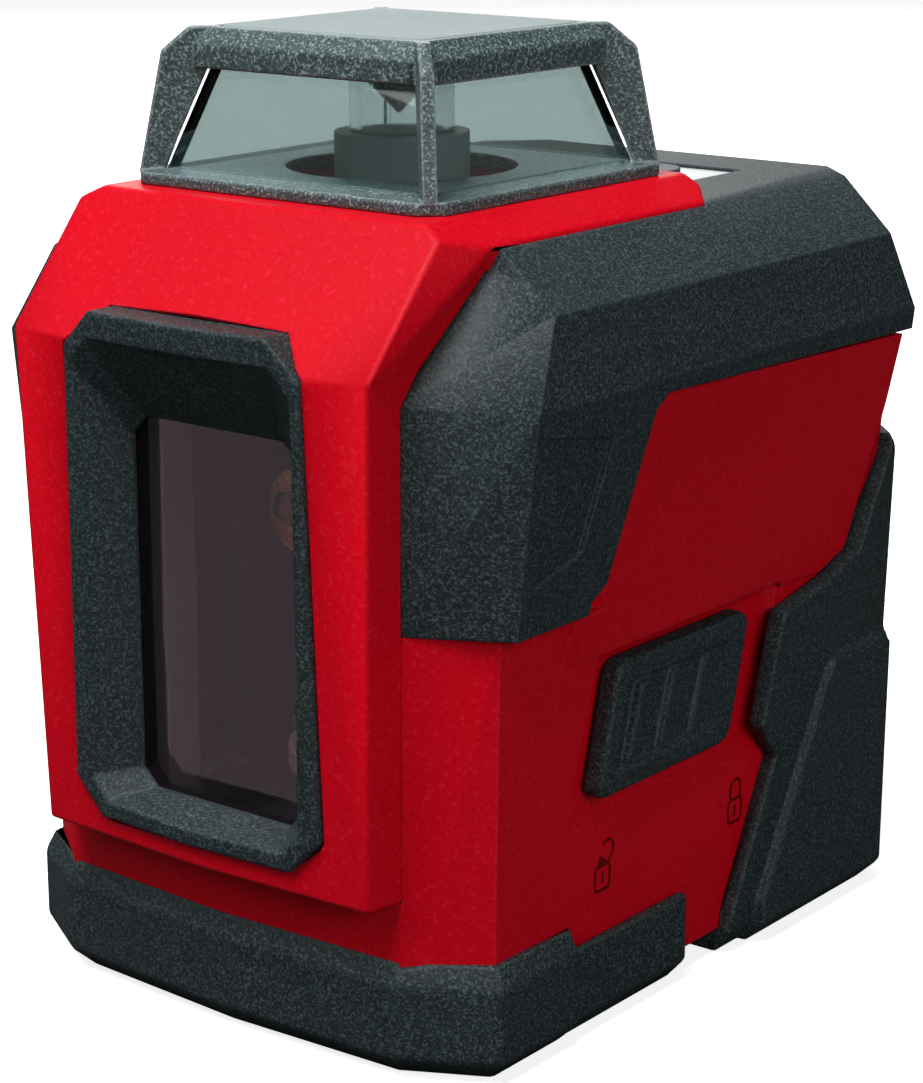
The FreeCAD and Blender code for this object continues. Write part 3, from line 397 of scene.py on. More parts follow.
@dataclass(frozen=True)
class SatinShell(Finish):
    """Moulded plastic with a fine satin spark grain and a painted highlight along its edges."""

    # The lighter colour: it tints the spark flecks of the grain and paints the edge highlight.
    spark_and_highlight_colour: Colour = (1.0, 0.1, 0.1)
    grain: float = 1700.0
    depth: float = 0.00004
    rough: float = 0.46
    gloss: float = 0.12
    edge: float = 0.0005
    # How strongly the edges are lightened: a painted highlight.
    painted_highlight: float = 0.45

    def compose(self, graph: Graph) -> bpy.types.Material:
        """Build satin plastic.

        Args:
            graph: An empty graph.

        Returns:
            The finished material.
        """
        fine = graph.noise(self.grain, 2.0, 0.6)
        pits = graph.cells(self.grain * 0.8)
        cloud = graph.noise(38.0, 3.0)
        highlight_streaks = graph.noise(420.0, 3.0, 0.6, (1.0, 1.0, 5.0))
        soft, edge = graph.soft_edge_and_highlight_mask(self.edge)
        height = fine * 0.6 + pits * 0.4
        deep = tuple(c * 0.84 for c in self.colour)
        base = graph.mix(cloud.above(0.5, 0.3) * 0.6, self.colour, deep)
        flecked = graph.mix(fine.above(0.62, 0.08) * 0.2, base, self.spark_and_highlight_colour)
        # Painted highlight: the edges are lightened towards the lighter colour, broken up by
        # streaky noise.
        edge_highlighted = graph.mix(edge * highlight_streaks.above(0.45, 0.2) * self.painted_highlight, flecked, self.spark_and_highlight_colour)
        rough = self.rough + (cloud - 0.5) * 0.14 + (fine - 0.5) * 0.16
        shader = graph.surface({
            "Base Color": edge_highlighted, "Roughness": rough, "Metallic": 0.0,
            "Specular IOR Level": self.gloss,
            "Normal": graph.bump(height, self.depth, 0.7, soft),
        })
        return graph.finish(shader)


@dataclass(frozen=True)
class GrainedRubber(Finish):
    """Overmoulded rubber with a coarse, sparkling grain and a painted highlight along its
    edges.
    """

    # The lighter colour: it tints the grain's flecks and paints the edge highlight.
    fleck_and_highlight_colour: Colour = (0.13, 0.165, 0.17)
    grain: float = 2100.0
    depth: float = 0.00012
    rough: float = 0.55
    flecks: float = 0.34
    gloss: float = 0.26
    edge: float = 0.0005
    # How strongly the edges are lightened: a painted highlight.
    painted_highlight: float = 0.14

    def compose(self, graph: Graph) -> bpy.types.Material:
        """Build grained rubber.

        Args:
            graph: An empty graph.

        Returns:
            The finished material.
        """
        coarse = graph.noise(self.grain, 2.0, 0.7)
        fine = graph.noise(self.grain * 1.7, 1.0, 0.5)
        crystals = graph.cells(self.grain * 1.2)
        cloud = graph.noise(46.0, 3.0)
        soft, edge = graph.soft_edge_and_highlight_mask(self.edge)
        peaks = (coarse * 0.4 + fine * 0.6).above(0.565, 0.035)
        hollows = 1.0 - (coarse * 0.5 + fine * 0.5).above(0.45, 0.05)
        dark = tuple(c * 0.4 for c in self.colour)
        base = graph.mix(hollows * (0.35 + cloud * 0.6), self.colour, dark)
        tone = graph.mix(peaks * self.flecks * (0.5 + cloud), base, self.fleck_and_highlight_colour)
        # Painted highlight: the edges are lightened towards the lighter colour.
        edge_highlighted = graph.mix(edge * self.painted_highlight, tone, self.fleck_and_highlight_colour)
        height = coarse * 0.5 + crystals * 0.3 + fine * 0.2
        rough = self.rough + (fine - 0.5) * 0.4 + (cloud - 0.5) * 0.1
        shader = graph.surface({
            "Base Color": edge_highlighted, "Roughness": rough, "Metallic": 0.0,
            "Specular IOR Level": self.gloss,
            "Normal": graph.bump(height, self.depth, 0.9, soft),
        })
        return graph.finish(shader)


@dataclass(frozen=True)
class Machined(Finish):
    """Bare metal, brushed, turned or as cast."""

    pattern: Pattern = Pattern.BRUSHED
    rough: float = 0.3
    grain: float = 900.0
    depth: float = 0.00002

    def compose(self, graph: Graph) -> bpy.types.Material:
        """Build metal.

        Args:
            graph: An empty graph.

        Returns:
            The finished material.
        """
        stretch = {
            Pattern.BRUSHED: (1.0, 12.0, 1.0),
            Pattern.TURNED: (1.0, 1.0, 14.0),
        }.get(self.pattern, (1.0, 1.0, 1.0))
        lines = graph.noise(self.grain, 3.0, 0.6, stretch)
        stain = graph.noise(70.0, 3.0)
        dull = tuple(c * 0.72 for c in self.colour)
        base = graph.mix(stain.above(0.52, 0.2) * 0.6, self.colour, dull)
        shader = graph.surface({
            "Base Color": base, "Metallic": 1.0,
            "Roughness": self.rough + (lines - 0.5) * 0.25 + (stain - 0.5) * 0.12,
            "Normal": graph.bump(lines, self.depth, 0.6),
        })
        return graph.finish(shader)


@dataclass(frozen=True)
class TintedGlass(Finish):
    """A clear moulded pane that lets the lamps through."""

    shadow: Colour = (0.6, 0.6, 0.6)
    rough: float = 0.015
    gloss: float = 0.5

    def compose(self, graph: Graph) -> bpy.types.Material:
        """Build glass.

        Args:
            graph: An empty graph.

        Returns:
            The finished material.
        """
        wave = graph.noise(60.0, 2.0)
        smear = graph.noise(140.0, 3.0)
        glass = graph.surface({
            "Base Color": (*self.colour, 1.0),
            "Roughness": self.rough + smear.above(0.62, 0.1) * 0.03,
            "Transmission Weight": 1.0, "IOR": 1.45,
            "Specular IOR Level": self.gloss,
            "Normal": graph.bump(wave, 0.00002, 0.4),
        })
        clear = graph.node(
            "ShaderNodeBsdfTransparent", None, {"Color": (*self.shadow, 1.0)}
        )
        path = graph.node("ShaderNodeLightPath")
        both = graph.node(
            "ShaderNodeMixShader", None,
            {0: path("Is Shadow Ray"), 1: glass("BSDF"), 2: clear("BSDF")},
        )
        return graph.finish(both, "Shader")


@dataclass(frozen=True)
class Lacquer(Finish):
    """A smooth coated face: circuit board, film or sleeve."""

    second: Colour = (0.0, 0.0, 0.0)
    scale: float = 320.0
    rough: float = 0.3

    def compose(self, graph: Graph) -> bpy.types.Material:
        """Build a coated face.

        Args:
            graph: An empty graph.

        Returns:
            The finished material.
        """
        patch = graph.noise(self.scale, 2.0, 0.5)
        fine = graph.noise(2200.0, 2.0)
        shader = graph.surface({
            "Base Color": graph.mix(patch.above(0.52, 0.06) * 0.5, self.colour, self.second),
            "Roughness": self.rough + (fine - 0.5) * 0.12,
            "Coat Weight": 0.2, "Coat Roughness": 0.15,
            "Normal": graph.bump(fine, 0.00001, 0.5),
        })
        return graph.finish(shader)


@dataclass(frozen=True)
class Lamp(Finish):
    """A small lens that is faintly lit."""

    strength: float = 0.4

    def compose(self, graph: Graph) -> bpy.types.Material:
        """Build a lit lens.

        Args:
            graph: An empty graph.

        Returns:
            The finished material.
        """
        ring = graph.noise(900.0, 1.0)
        shader = graph.surface({
            "Base Color": graph.mix(ring, self.colour, tuple(c * 0.6 for c in self.colour)),
            "Roughness": 0.2 + ring * 0.1, "Coat Weight": 0.5,
            "Emission Color": (*self.colour, 1.0),
            "Emission Strength": self.strength,
        })
        return graph.finish(shader)


# Each satin and rubber finish below lightens its edges towards its lighter colour, a painted
# highlight; it is off only for the dark red marks.
RED = SatinShell("satin_red", (0.62, 0.0006, 0.010), spark_and_highlight_colour=(0.95, 0.03, 0.07))
RED_ENGRAVED = SatinShell(
    "satin_red_dark", (0.16, 0.0005, 0.002), spark_and_highlight_colour=(0.3, 0.005, 0.01), painted_highlight=0.0)
RUBBER = GrainedRubber("grip_rubber", (0.020, 0.031, 0.034))
CAGE = GrainedRubber(
    "cage_plastic", (0.056, 0.088, 0.092), fleck_and_highlight_colour=(0.40, 0.49, 0.50), flecks=0.5,
    rough=0.45, gloss=0.4, painted_highlight=0.5)
CAP = SatinShell(
    "cap_plastic", (0.25, 0.30, 0.30), spark_and_highlight_colour=(0.36, 0.42, 0.42), rough=0.55, gloss=0.03,
    painted_highlight=0.3)
BLACK = SatinShell("black_plastic", (0.012, 0.013, 0.014), spark_and_highlight_colour=(0.05, 0.05, 0.055))
PALE = SatinShell("pale_plastic", (0.62, 0.62, 0.58), spark_and_highlight_colour=(0.8, 0.8, 0.78))
FRAME = SatinShell("frame_plastic", (0.16, 0.20, 0.20), spark_and_highlight_colour=(0.3, 0.34, 0.34), painted_highlight=0.2)
BRASS = Machined("turned_brass", (0.72, 0.5, 0.2), Pattern.TURNED, 0.25)
STEEL = Machined("satin_steel", (0.56, 0.57, 0.58), Pattern.BRUSHED, 0.3)
CAST = Machined("cast_alloy", (0.36, 0.37, 0.38), Pattern.SMOOTH, 0.5, 1500.0, 0.00006)
ALUMINIUM = Machined("turned_aluminium", (0.72, 0.73, 0.74), Pattern.TURNED, 0.28)
MIRROR = Machined("polished_mirror", (0.93, 0.93, 0.93), Pattern.SMOOTH, 0.03, 600.0, 0.000002)
HEAD_GLASS = TintedGlass("head_glass", (0.43, 0.50, 0.49), (0.70, 0.78, 0.78), gloss=0.25)
WINDOW_GLASS = TintedGlass("window_glass", (0.43, 0.31, 0.36), (0.95, 0.90, 0.92), gloss=0.16)
CLEAR_GLASS = TintedGlass("clear_glass", (0.86, 0.9, 0.9), (0.85, 0.88, 0.88))
BOARD = Lacquer("circuit_board", (0.02, 0.16, 0.07), (0.03, 0.24, 0.1))
COMPONENT = Lacquer("component", (0.03, 0.03, 0.034), (0.06, 0.06, 0.066), 900.0)
SLEEVE = Lacquer("cell_sleeve", (0.05, 0.06, 0.08), (0.08, 0.09, 0.12), 60.0)
FILM = Lacquer("keypad_film", (0.52, 0.58, 0.57), (0.58, 0.63, 0.62), 90.0, 0.35)
KEY = GrainedRubber("key_rubber", (0.07, 0.085, 0.09), depth=0.00003, flecks=0.1)
LAMP = Lamp("lamp", (0.2, 0.75, 0.25))


# ------------------------------------------------------------------ mesh helpers


@dataclass
class Rounding:
    """How the edges of a part are rounded."""

    width: float = 0.0004
    segments: int = 2
    angle: float = math.radians(11)
    room: float = 1.25
    stray: float = 1.1
    tries: int = 6


class Shaper:
    """Makes finished pieces from bmesh work."""

    @staticmethod
    def piece(name: str, form: bmesh.types.BMesh, body: Body, finish: Finish,
              slot: str, stands_for: Sequence[str] = ()) -> None:
        """Turn a bmesh into a finished piece of the object.

        Args:
            name: The piece's name.
            form: The shape, in the part's frame; it is freed here.
            body: The body that it rides on.
            finish: Its finish.
            slot: The record's material slot; not used.
            stands_for: CAD nodes that it takes the place of.
        """
        mesh = bpy.data.meshes.new(name)
        for face in form.faces:
            face.smooth = True
        form.to_mesh(mesh)
        form.free()
        mesh.set_sharp_from_angle(angle=SHARP_ABOVE)
        piece = bpy.data.objects.new(name, mesh)
        bpy.context.scene.collection.objects.link(piece)
        weigh = piece.modifiers.new("weigh", "WEIGHTED_NORMAL")
        weigh.keep_sharp = True
        weigh.weight = FACE_WEIGHT
        finish.paint(piece)
        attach(piece, body.value)
        if stands_for:
            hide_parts(*stands_for)
        LOG.info("piece %s: %d faces on %s", name, len(mesh.polygons), body.value)

    @staticmethod
    def copied(node: str) -> bmesh.types.BMesh:
        """Give a CAD node's shape with its flat faces whole again.

        Args:
            node: The node's name.

        Returns:
            A new bmesh.
        """
        form = bmesh.new()
        form.from_mesh(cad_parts[node].data)
        bmesh.ops.remove_doubles(form, verts=form.verts[:], dist=WELD)
        bmesh.ops.dissolve_degenerate(form, edges=form.edges[:], dist=SHORTEST_EDGE)
        bmesh.ops.dissolve_limit(
            form, angle_limit=FLAT_WITHIN, verts=form.verts[:],
            edges=form.edges[:], use_dissolve_boundaries=False)
        return form

    @staticmethod
    def has_room(edge: bmesh.types.BMEdge, rounding: Rounding) -> bool:
        """Say whether a rounding fits at both ends of an edge.

        Args:
            edge: The edge.
            rounding: How far it is rounded.

        Returns:
            True where every neighbouring edge is long enough.
        """
        if not edge.is_manifold or edge.calc_face_angle(0.0) < rounding.angle:
            return False
        for face in edge.link_faces:
            for corner in edge.verts:
                for other in corner.link_edges:
                    if other is edge or other not in face.edges:
                        continue
                    along = edge.other_vert(corner).co - corner.co
                    aside = other.other_vert(corner).co - corner.co
                    lean = max(math.sin(along.angle(aside, math.pi / 2)), LEAST_SINE)
                    if aside.length * lean < rounding.width * rounding.room:
                        return False
        return True

    @staticmethod
    def rounded(form: bmesh.types.BMesh, rounding: Rounding) -> bmesh.types.BMesh:
        """Round the sharp edges of a shape wherever the rounding fits.

        Args:
            form: The shape; it is freed here.
            rounding: How far and which edges.

        Returns:
            The rounded shape.
        """
        surface = BVHTree.FromBMesh(form)
        form.edges.ensure_lookup_table()
        fit = {edge.index for edge in form.edges if Shaper.has_room(edge, rounding)}
        reach = rounding.width * rounding.stray
        for _ in range(rounding.tries):
            trial = form.copy()
            trial.edges.ensure_lookup_table()
            bmesh.ops.bevel(
                trial, geom=[trial.edges[at] for at in fit], offset=rounding.width,
                offset_type="OFFSET", affect="EDGES", segments=rounding.segments,
                profile=ROUND_PROFILE, clamp_overlap=False, loop_slide=True, material=-1,
                miter_outer="SHARP")
            strays = [v.co.copy() for v in trial.verts
                      if surface.find_nearest(v.co)[3] > reach]
            for face in trial.faces:
                middle = face.calc_center_median()
                under = surface.find_nearest(middle)
                turned = face.normal.dot(under[1]) < FACES_AWAY
                if face.calc_area() > SMALLEST_FACE and turned:
                    strays.append(middle)
            if not strays:
                break
            for place in strays:
                near = min(fit, key=lambda at: Shaper.apart(form.edges[at], place))
                fit.discard(near)
            trial.free()
        else:
            trial = form.copy()
        form.free()
        LOG.info("rounded %d edges", len(fit))
        return trial

    @staticmethod
    def apart(edge: bmesh.types.BMEdge, place: Vector) -> float:
        """Give how far a place is from an edge."""
        first, last = (corner.co for corner in edge.verts)
        along = last - first
        share = (place - first).dot(along) / max(along.length_squared, TINY)
        return (first + along * min(max(share, 0.0), 1.0) - place).length


class Ground:
    """A CAD node's surface, asked for where it lies."""

    def __init__(self, node: str) -> None:
        """Keep the node's surface.

        Args:
            node: The node's name.
        """
        form = Shaper.copied(node)
        self.tree = BVHTree.FromBMesh(form)
        form.free()

    def side(self, back: float, up: float) -> float:
        """Give how far to the right the surface lies at a place on the side."""
        hit = self.tree.ray_cast(Vector((0.2, back, up)), Vector((-1.0, 0.0, 0.0)))[0]
        return hit.x if hit else 0.0


def carried(nodes: Iterable[str], finish: Finish) -> None:
    """Give carried-over CAD nodes a finish.

    Args:
        nodes: The nodes' names.
        finish: Their finish.
    """
    for name in nodes:
        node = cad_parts[name]
        finish.paint(node)
        for face in node.data.polygons:
            face.use_smooth = False
        LOG.info("node %s takes %s", name, finish.name)


# ------------------------------------------------------------------- assemblies


class Assembly:
    """A part of the object that is shaped first and dressed after."""

    def build(self) -> None:
        """Shape the new pieces, where it has any."""

    def dress(self) -> None:
        """Give the carried-over parts their finishes, where it has any."""

    @staticmethod
    def round_off(node: str, name: str, body: Body, finish: Finish, slot: str,
                  edge: Rounding) -> None:
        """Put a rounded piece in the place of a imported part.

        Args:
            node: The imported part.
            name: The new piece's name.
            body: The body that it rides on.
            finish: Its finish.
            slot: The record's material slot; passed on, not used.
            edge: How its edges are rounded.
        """
        form = Shaper.rounded(Shaper.copied(node), edge)
        Shaper.piece(name, form, body, finish, slot, [node])


@dataclass
class Enclosure(Assembly):
    """The two red shells and what is moulded on them."""

    edge: Rounding = field(
        default_factory=lambda: Rounding(0.0005, angle=math.radians(19)))

    def build(self) -> None:
        """Round the shells."""
        for node in ("front_cover", "main_housing"):
            self.round_off(node, node + "_shell", Body.HOUSING, RED, "red_shell", self.edge)

    def dress(self) -> None:
        """Give the parts under the shells their finishes."""
        carried(["base_plate"], BLACK)
        carried(["tripod_insert"], BRASS)
        carried(["housing_screws", "chassis_screws"], STEEL)


@dataclass
class Grips(Assembly):
    """The rubber that is moulded over the shells."""

    edge: Rounding = field(
        default_factory=lambda: Rounding(0.0005, angle=math.radians(19)))

    def build(self) -> None:
        """Round the rubber parts."""
        for node in ("upper_grip", "front_bumper", "rear_bumper"):
            self.round_off(
                node, node + "_rubber", Body.HOUSING, RUBBER, "grip_rubber", self.edge)


@dataclass
class Window(Assembly):
    """The front window: bezel, pane and retainer."""

    edge: Rounding = field(
        default_factory=lambda: Rounding(0.0004, angle=math.radians(19)))

    def build(self) -> None:
        """Round the bezel."""
        self.round_off(
            "window_bezel", "window_bezel_rubber", Body.HOUSING, RUBBER, "grip_rubber",
            self.edge)

    def dress(self) -> None:
        """Give the pane and its retainer their finishes."""
        carried(["front_pane"], WINDOW_GLASS)
        carried(["pane_retainer"], BLACK)


@dataclass
class Head(Assembly):
    """The laser head: cage, cap, panes and optics."""

    edge: Rounding = field(default_factory=lambda: Rounding(0.0003))

    def build(self) -> None:
        """Round the cage and the cap."""
        self.round_off(
            "head_cage", "head_cage_frame", Body.HOUSING, CAGE, "cage_plastic", self.edge)
        self.round_off("head_cap", "head_cap_lid", Body.HOUSING, CAP, "cap_plastic", self.edge)

    def dress(self) -> None:
        """Give the panes and optics their finishes."""
        carried(["head_front_pane", "head_right_pane", "head_rear_pane", "head_left_pane"],
                HEAD_GLASS)
        carried(["optic_holder"], FRAME)
        carried(["optic_tube", "line_lens"], CLEAR_GLASS)
        carried(["cone_mirror"], MIRROR)


@dataclass
class Pendulum(Assembly):
    """The gimballed pendulum with both lasers and its weight."""

    def dress(self) -> None:
        """Give the pendulum's parts their finishes."""
        carried(["pendulum_frame", "gimbal_ring"], CAST)
        carried(["level_laser", "plumb_laser", "pendulum_weight"], BRASS)
        carried(["collimator_lens"], CLEAR_GLASS)
        carried(["pendulum_pins", "gimbal_pins", "pendulum_bearings", "gimbal_bearings",
                 "trim_screws", "damping_magnets"], STEEL)
        carried(["damping_plate"], ALUMINIUM)


@dataclass
class Interior(Assembly):
    """Chassis, battery and electronics."""

    def dress(self) -> None:
        """Give the inner parts their finishes."""
        carried(["chassis"], FRAME)
        carried(["battery_tray", "power_switch", "switch_plunger"], BLACK)
        carried(["lock_shoe", "lock_cam"], PALE)
        carried(["battery_cells"], SLEEVE)
        carried(["battery_springs", "battery_contacts", "door_pin", "board_standoffs",
                 "dome_switches"], STEEL)
        carried(["main_board", "keypad_board"], BOARD)
        carried(["board_components"], COMPONENT)


@dataclass
class TravelLock(Assembly):
    """The travel lock's sliding thumb piece and the two marks beside it."""

    lean: float = 3.9 * MM
    plate: float = 2.3 * MM
    corner: float = 1.8 * MM
    rim: float = 0.7 * MM
    border: float = 1.7 * MM
    hollow: float = 1.0 * MM
    neck_high: float = 3.7 * MM
    neck_front: float = -9.45 * MM
    neck_long: float = 9.5 * MM
    rib_places: tuple[float, ...] = (-9.0 * MM, -2.9 * MM, 3.3 * MM)
    rib_lean: float = 2.5 * MM
    rib_wide: float = 2.9 * MM
    rib_high: float = 9.2 * MM
    rib_top_wide: float = 0.34
    rib_top_shift: float = 0.24
    rib_top_high: float = 0.86
    rib_sunk: float = 1.25
    rib_rise: float = 1.2
    rib_round: float = 0.22 * MM
    neck_round: float = 0.2 * MM
    rim_steps: tuple[tuple[float, float], ...] = ((0.15, 0.45), (0.3, 0.35), (0.55, 0.2))
    hollow_steps: tuple[tuple[float, float], ...] = (
        (0.25 * MM, 0.35), (0.3 * MM, 0.45), (0.45 * MM, 0.2))
    hollow_slope: float = 1.7
    hollow_least: float = 0.1
    line: float = 0.34 * MM
    relief: float = 0.05 * MM
    mark_base: float = 15.5 * MM
    mark_wide: float = 3.1 * MM
    mark_high: float = 3.2 * MM
    mark_corner: float = 0.7 * MM
    keyhole: float = 0.42
    shackle: float = 1.05 * MM
    shackle_leg: float = 1.2 * MM
    shackle_steps: int = 14
    unlock_place: float = -14.9 * MM
    unlock_swing: float = 0.62
    lock_place: float = 11.9 * MM

    def build(self) -> None:
        """Shape the slider and its marks."""
        low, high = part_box("lock_slider")
        form = self._plate(low, high)
        for place in self.rib_places:
            self._rib(form, place, high.x, (low.z + high.z) / 2)
        self._neck(form, low, high)
        Shaper.piece("lock_slider_grip", form, Body.LOCK, RUBBER, "slider_rubber",
                     ["lock_slider"])
        self._mark("unlock_mark", self.unlock_place, self.unlock_swing)
        self._mark("lock_mark", self.lock_place, 0.0)

    def _plate(self, low: Vector, high: Vector) -> bmesh.types.BMesh:
        """Shape the leaning plate with its rim and its hollow.

        Args:
            low: The slider's lowest corner.
            high: The slider's highest corner.

        Returns:
            The plate.
        """
        form = bmesh.new()
        made = bmesh.ops.create_grid(form, x_segments=1, y_segments=1, size=0.5)["verts"]
        for corner in made:
            across, up = corner.co.x + 0.5, corner.co.y + 0.5
            front, rear = low.y + self.lean * up, high.y - self.lean * (1.0 - up)
            corner.co = Vector((high.x - self.plate, front + (rear - front) * across,
                                low.z + (high.z - low.z) * up))
        bmesh.ops.bevel(form, geom=form.verts[:], offset=self.corner, offset_type="OFFSET",
                        affect="VERTICES", segments=4, profile=ROUND_PROFILE, material=-1)
        face = form.faces[:][0]
        face.normal_update()
        if face.normal.x < 0:
            bmesh.ops.reverse_faces(form, faces=[face])
        back = face.copy()
        bmesh.ops.reverse_faces(form, faces=[back])
        face = self._step(form, face, 0.0, self.plate - self.rim)
        for inward, rise in self.rim_steps:
            face = self._step(form, face, self.rim * inward, self.rim * rise)
        face = self._step(form, face, self.border, 0.0)
        for inward, drop in self.hollow_steps:
            face = self._step(form, face, inward, 0.0)
            front = min(corner.co.y for corner in face.verts)
            rear = max(corner.co.y for corner in face.verts)
            for corner in face.verts:
                share = min(1.0, self.hollow_slope * (rear - corner.co.y) / (rear - front))
                depth = self.hollow_least + (1.0 - self.hollow_least) * share
                corner.co.x -= self.hollow * drop * depth
        bmesh.ops.triangulate(form, faces=[face])
        bmesh.ops.remove_doubles(form, verts=form.verts[:], dist=1e-7)
        bmesh.ops.recalc_face_normals(form, faces=form.faces[:])
        return form

    @staticmethod
    def _step(form: bmesh.types.BMesh, face: bmesh.types.BMFace, inward: float,
              outward: float) -> bmesh.types.BMFace:
        """Raise a face one step and draw its edge in.

        Args:
            form: The shape.
            face: The face.
            inward: How far its edge moves in.
            outward: How far it rises to the right.

        Returns:
            The raised face.
        """
        grown = bmesh.ops.extrude_discrete_faces(form, faces=[face])["faces"][0]
        middle = grown.calc_center_bounds()
        spans = [max(c.co[axis] for c in grown.verts) - min(c.co[axis] for c in grown.verts)
                 for axis in (1, 2)]
        scale = (1.0, 1.0 - 2 * inward / spans[0], 1.0 - 2 * inward / spans[1])
        bmesh.ops.scale(form, verts=grown.verts[:], vec=scale,
                        space=Matrix.Translation(-middle))
        bmesh.ops.translate(form, verts=grown.verts[:], vec=(outward, 0.0, 0.0))
        return grown

    def _rib(self, form: bmesh.types.BMesh, place: float, face: float, middle: float) -> None:
        """Add one leaning rib, steep in front and sloped behind.

        Args:
            form: The slider.
            place: How far back the rib's middle is.
            face: The slider's outer face.
            middle: The height of the slider's middle.
        """
        made = bmesh.ops.create_cube(form, size=1.0)["verts"]
        for corner in made:
            outward, back, up = corner.co.x + 0.5, corner.co.y, corner.co.z
            top = outward > 0.5
            wide = self.rib_wide * (self.rib_top_wide if top else 1.0)
            shift = -self.rib_wide * self.rib_top_shift if top else 0.0
            high = self.rib_high * (self.rib_top_high if top else 1.0)
            corner.co = Vector((
                face - self.hollow * self.rib_sunk + outward * self.hollow * self.rib_rise,
                place + back * wide + shift + up * self.rib_lean, middle + up * high))
        edges = {edge for corner in made for edge in corner.link_edges}
        bmesh.ops.bevel(form, geom=list(edges), offset=self.rib_round, offset_type="OFFSET",
                        affect="EDGES", segments=3, profile=ROUND_PROFILE, clamp_overlap=True,
                        material=-1)

    def _neck(self, form: bmesh.types.BMesh, low: Vector, high: Vector) -> None:
        """Add the neck that goes through the housing's slot.

        Args:
            form: The slider.
            low: The slider's lowest corner.
            high: The slider's highest corner.
        """
        made = bmesh.ops.create_cube(form, size=1.0)["verts"]
        deep = high.x - self.plate - low.x
        middle = (low.z + high.z) / 2
        for corner in made:
            corner.co = Vector((
                low.x + (corner.co.x + 0.5) * deep,
                self.neck_front + (corner.co.y + 0.5) * self.neck_long,
                middle + corner.co.z * self.neck_high))
        edges = {edge for corner in made for edge in corner.link_edges}
        bmesh.ops.bevel(form, geom=list(edges), offset=self.neck_round, affect="EDGES",
                        segments=2, profile=ROUND_PROFILE, material=-1)

    def _mark(self, name: str, middle: float, open_by: float) -> None:
        """Raise a fine padlock mark on the housing's side.

        Args:
            name: The piece's name.
            middle: How far back the mark's middle is.
            open_by: How far the shackle is swung open, in radians.
        """
        form = bmesh.new()
        bmesh.ops.create_grid(form, x_segments=1, y_segments=1, size=0.5)
        bmesh.ops.scale(form, verts=form.verts[:], vec=(self.mark_wide, self.mark_high, 1.0))
        bmesh.ops.bevel(form, geom=form.verts[:], offset=self.mark_corner, offset_type="OFFSET",
                        affect="VERTICES", segments=4, profile=ROUND_PROFILE, material=-1)
        face = form.faces[:][0]
        bmesh.ops.inset_region(form, faces=[face], thickness=self.line, use_boundary=True,
                               use_even_offset=True)
        bmesh.ops.delete(form, geom=[face], context="FACES")
        bar = bmesh.ops.create_grid(form, x_segments=1, y_segments=1, size=0.5)["verts"]
        bmesh.ops.scale(form, verts=bar, vec=(self.line, self.mark_high * self.keyhole, 1.0))
        rise = self.mark_high / 2
        foot = [form.verts.new((self.shackle + side * self.line / 2, rise, 0.0))
                for side in (-1.0, 1.0)]
        top = rise + self.shackle_leg
        stem = [form.verts.new((self.shackle + side * self.line / 2, top, 0.0))
                for side in (-1.0, 1.0)]
        form.faces.new((foot[0], foot[1], stem[1], stem[0]))
        edge = form.edges.get(stem)
        arc = bmesh.ops.spin(form, geom=[edge], cent=(0.0, top, 0.0),
                             axis=(0.0, 0.0, 1.0), angle=math.pi,
                             steps=self.shackle_steps)
        last = [part for part in arc["geom_last"] if isinstance(part, bmesh.types.BMVert)]
        loop = [corner for corner in form.verts if corner.co.y > rise - SHORTEST_EDGE]
        if open_by:
            bmesh.ops.rotate(form, verts=loop, cent=(self.shackle, rise, 0.0),
                             matrix=Matrix.Rotation(-open_by, 3, "Z"))
        else:
            down = bmesh.ops.extrude_edge_only(
                form, edges=[form.edges.get(last)])["geom"]
            ends = [part for part in down if isinstance(part, bmesh.types.BMVert)]
            bmesh.ops.translate(form, verts=ends, vec=(0.0, -self.shackle_leg, 0.0))
        bmesh.ops.remove_doubles(form, verts=form.verts[:], dist=SHORTEST_EDGE)
        form.normal_update()
        under = [part for part in form.faces if part.normal.z < 0]
        bmesh.ops.reverse_faces(form, faces=under)
        form.normal_update()
        bmesh.ops.solidify(form, geom=form.faces[:], thickness=self.relief)
        ground = Ground("main_housing")
        lowest = min(corner.co.z for corner in form.verts)
        for corner in form.verts:
            back = middle + corner.co.x
            up = self.mark_base + self.mark_high / 2 + corner.co.y
            level = corner.co.z - lowest
            corner.co = Vector((ground.side(back, up) + level, back, up))
        bmesh.ops.recalc_face_normals(form, faces=form.faces[:])
        Shaper.piece(name, form, Body.HOUSING, RED_ENGRAVED, "red_shell")


@dataclass
class BatteryDoor(Assembly):
    """The hinged rear door."""

    edge: Rounding = field(default_factory=lambda: Rounding(0.0003))

    def build(self) -> None:
        """Round the door."""
        self.round_off(
            "battery_door", "battery_door_panel", Body.DOOR, BLACK, "black_plastic",
            self.edge)


@dataclass
class Keypad(Assembly):
    """The keypad at the back of the top."""

    def dress(self) -> None:
        """Give the keypad's parts their finishes."""
        carried(["keypad_overlay"], FILM)
        carried(["keypad_frame"], BLACK)
        carried(["line_button", "pulse_button"], KEY)
        carried(["status_lamp"], LAMP)


@dataclass(frozen=True)
class SoftLamp:
    """A square soft lamp: its place and side in metres, its power in watts."""

    name: str
    place: tuple[float, float, float]
    size: float
    power: float


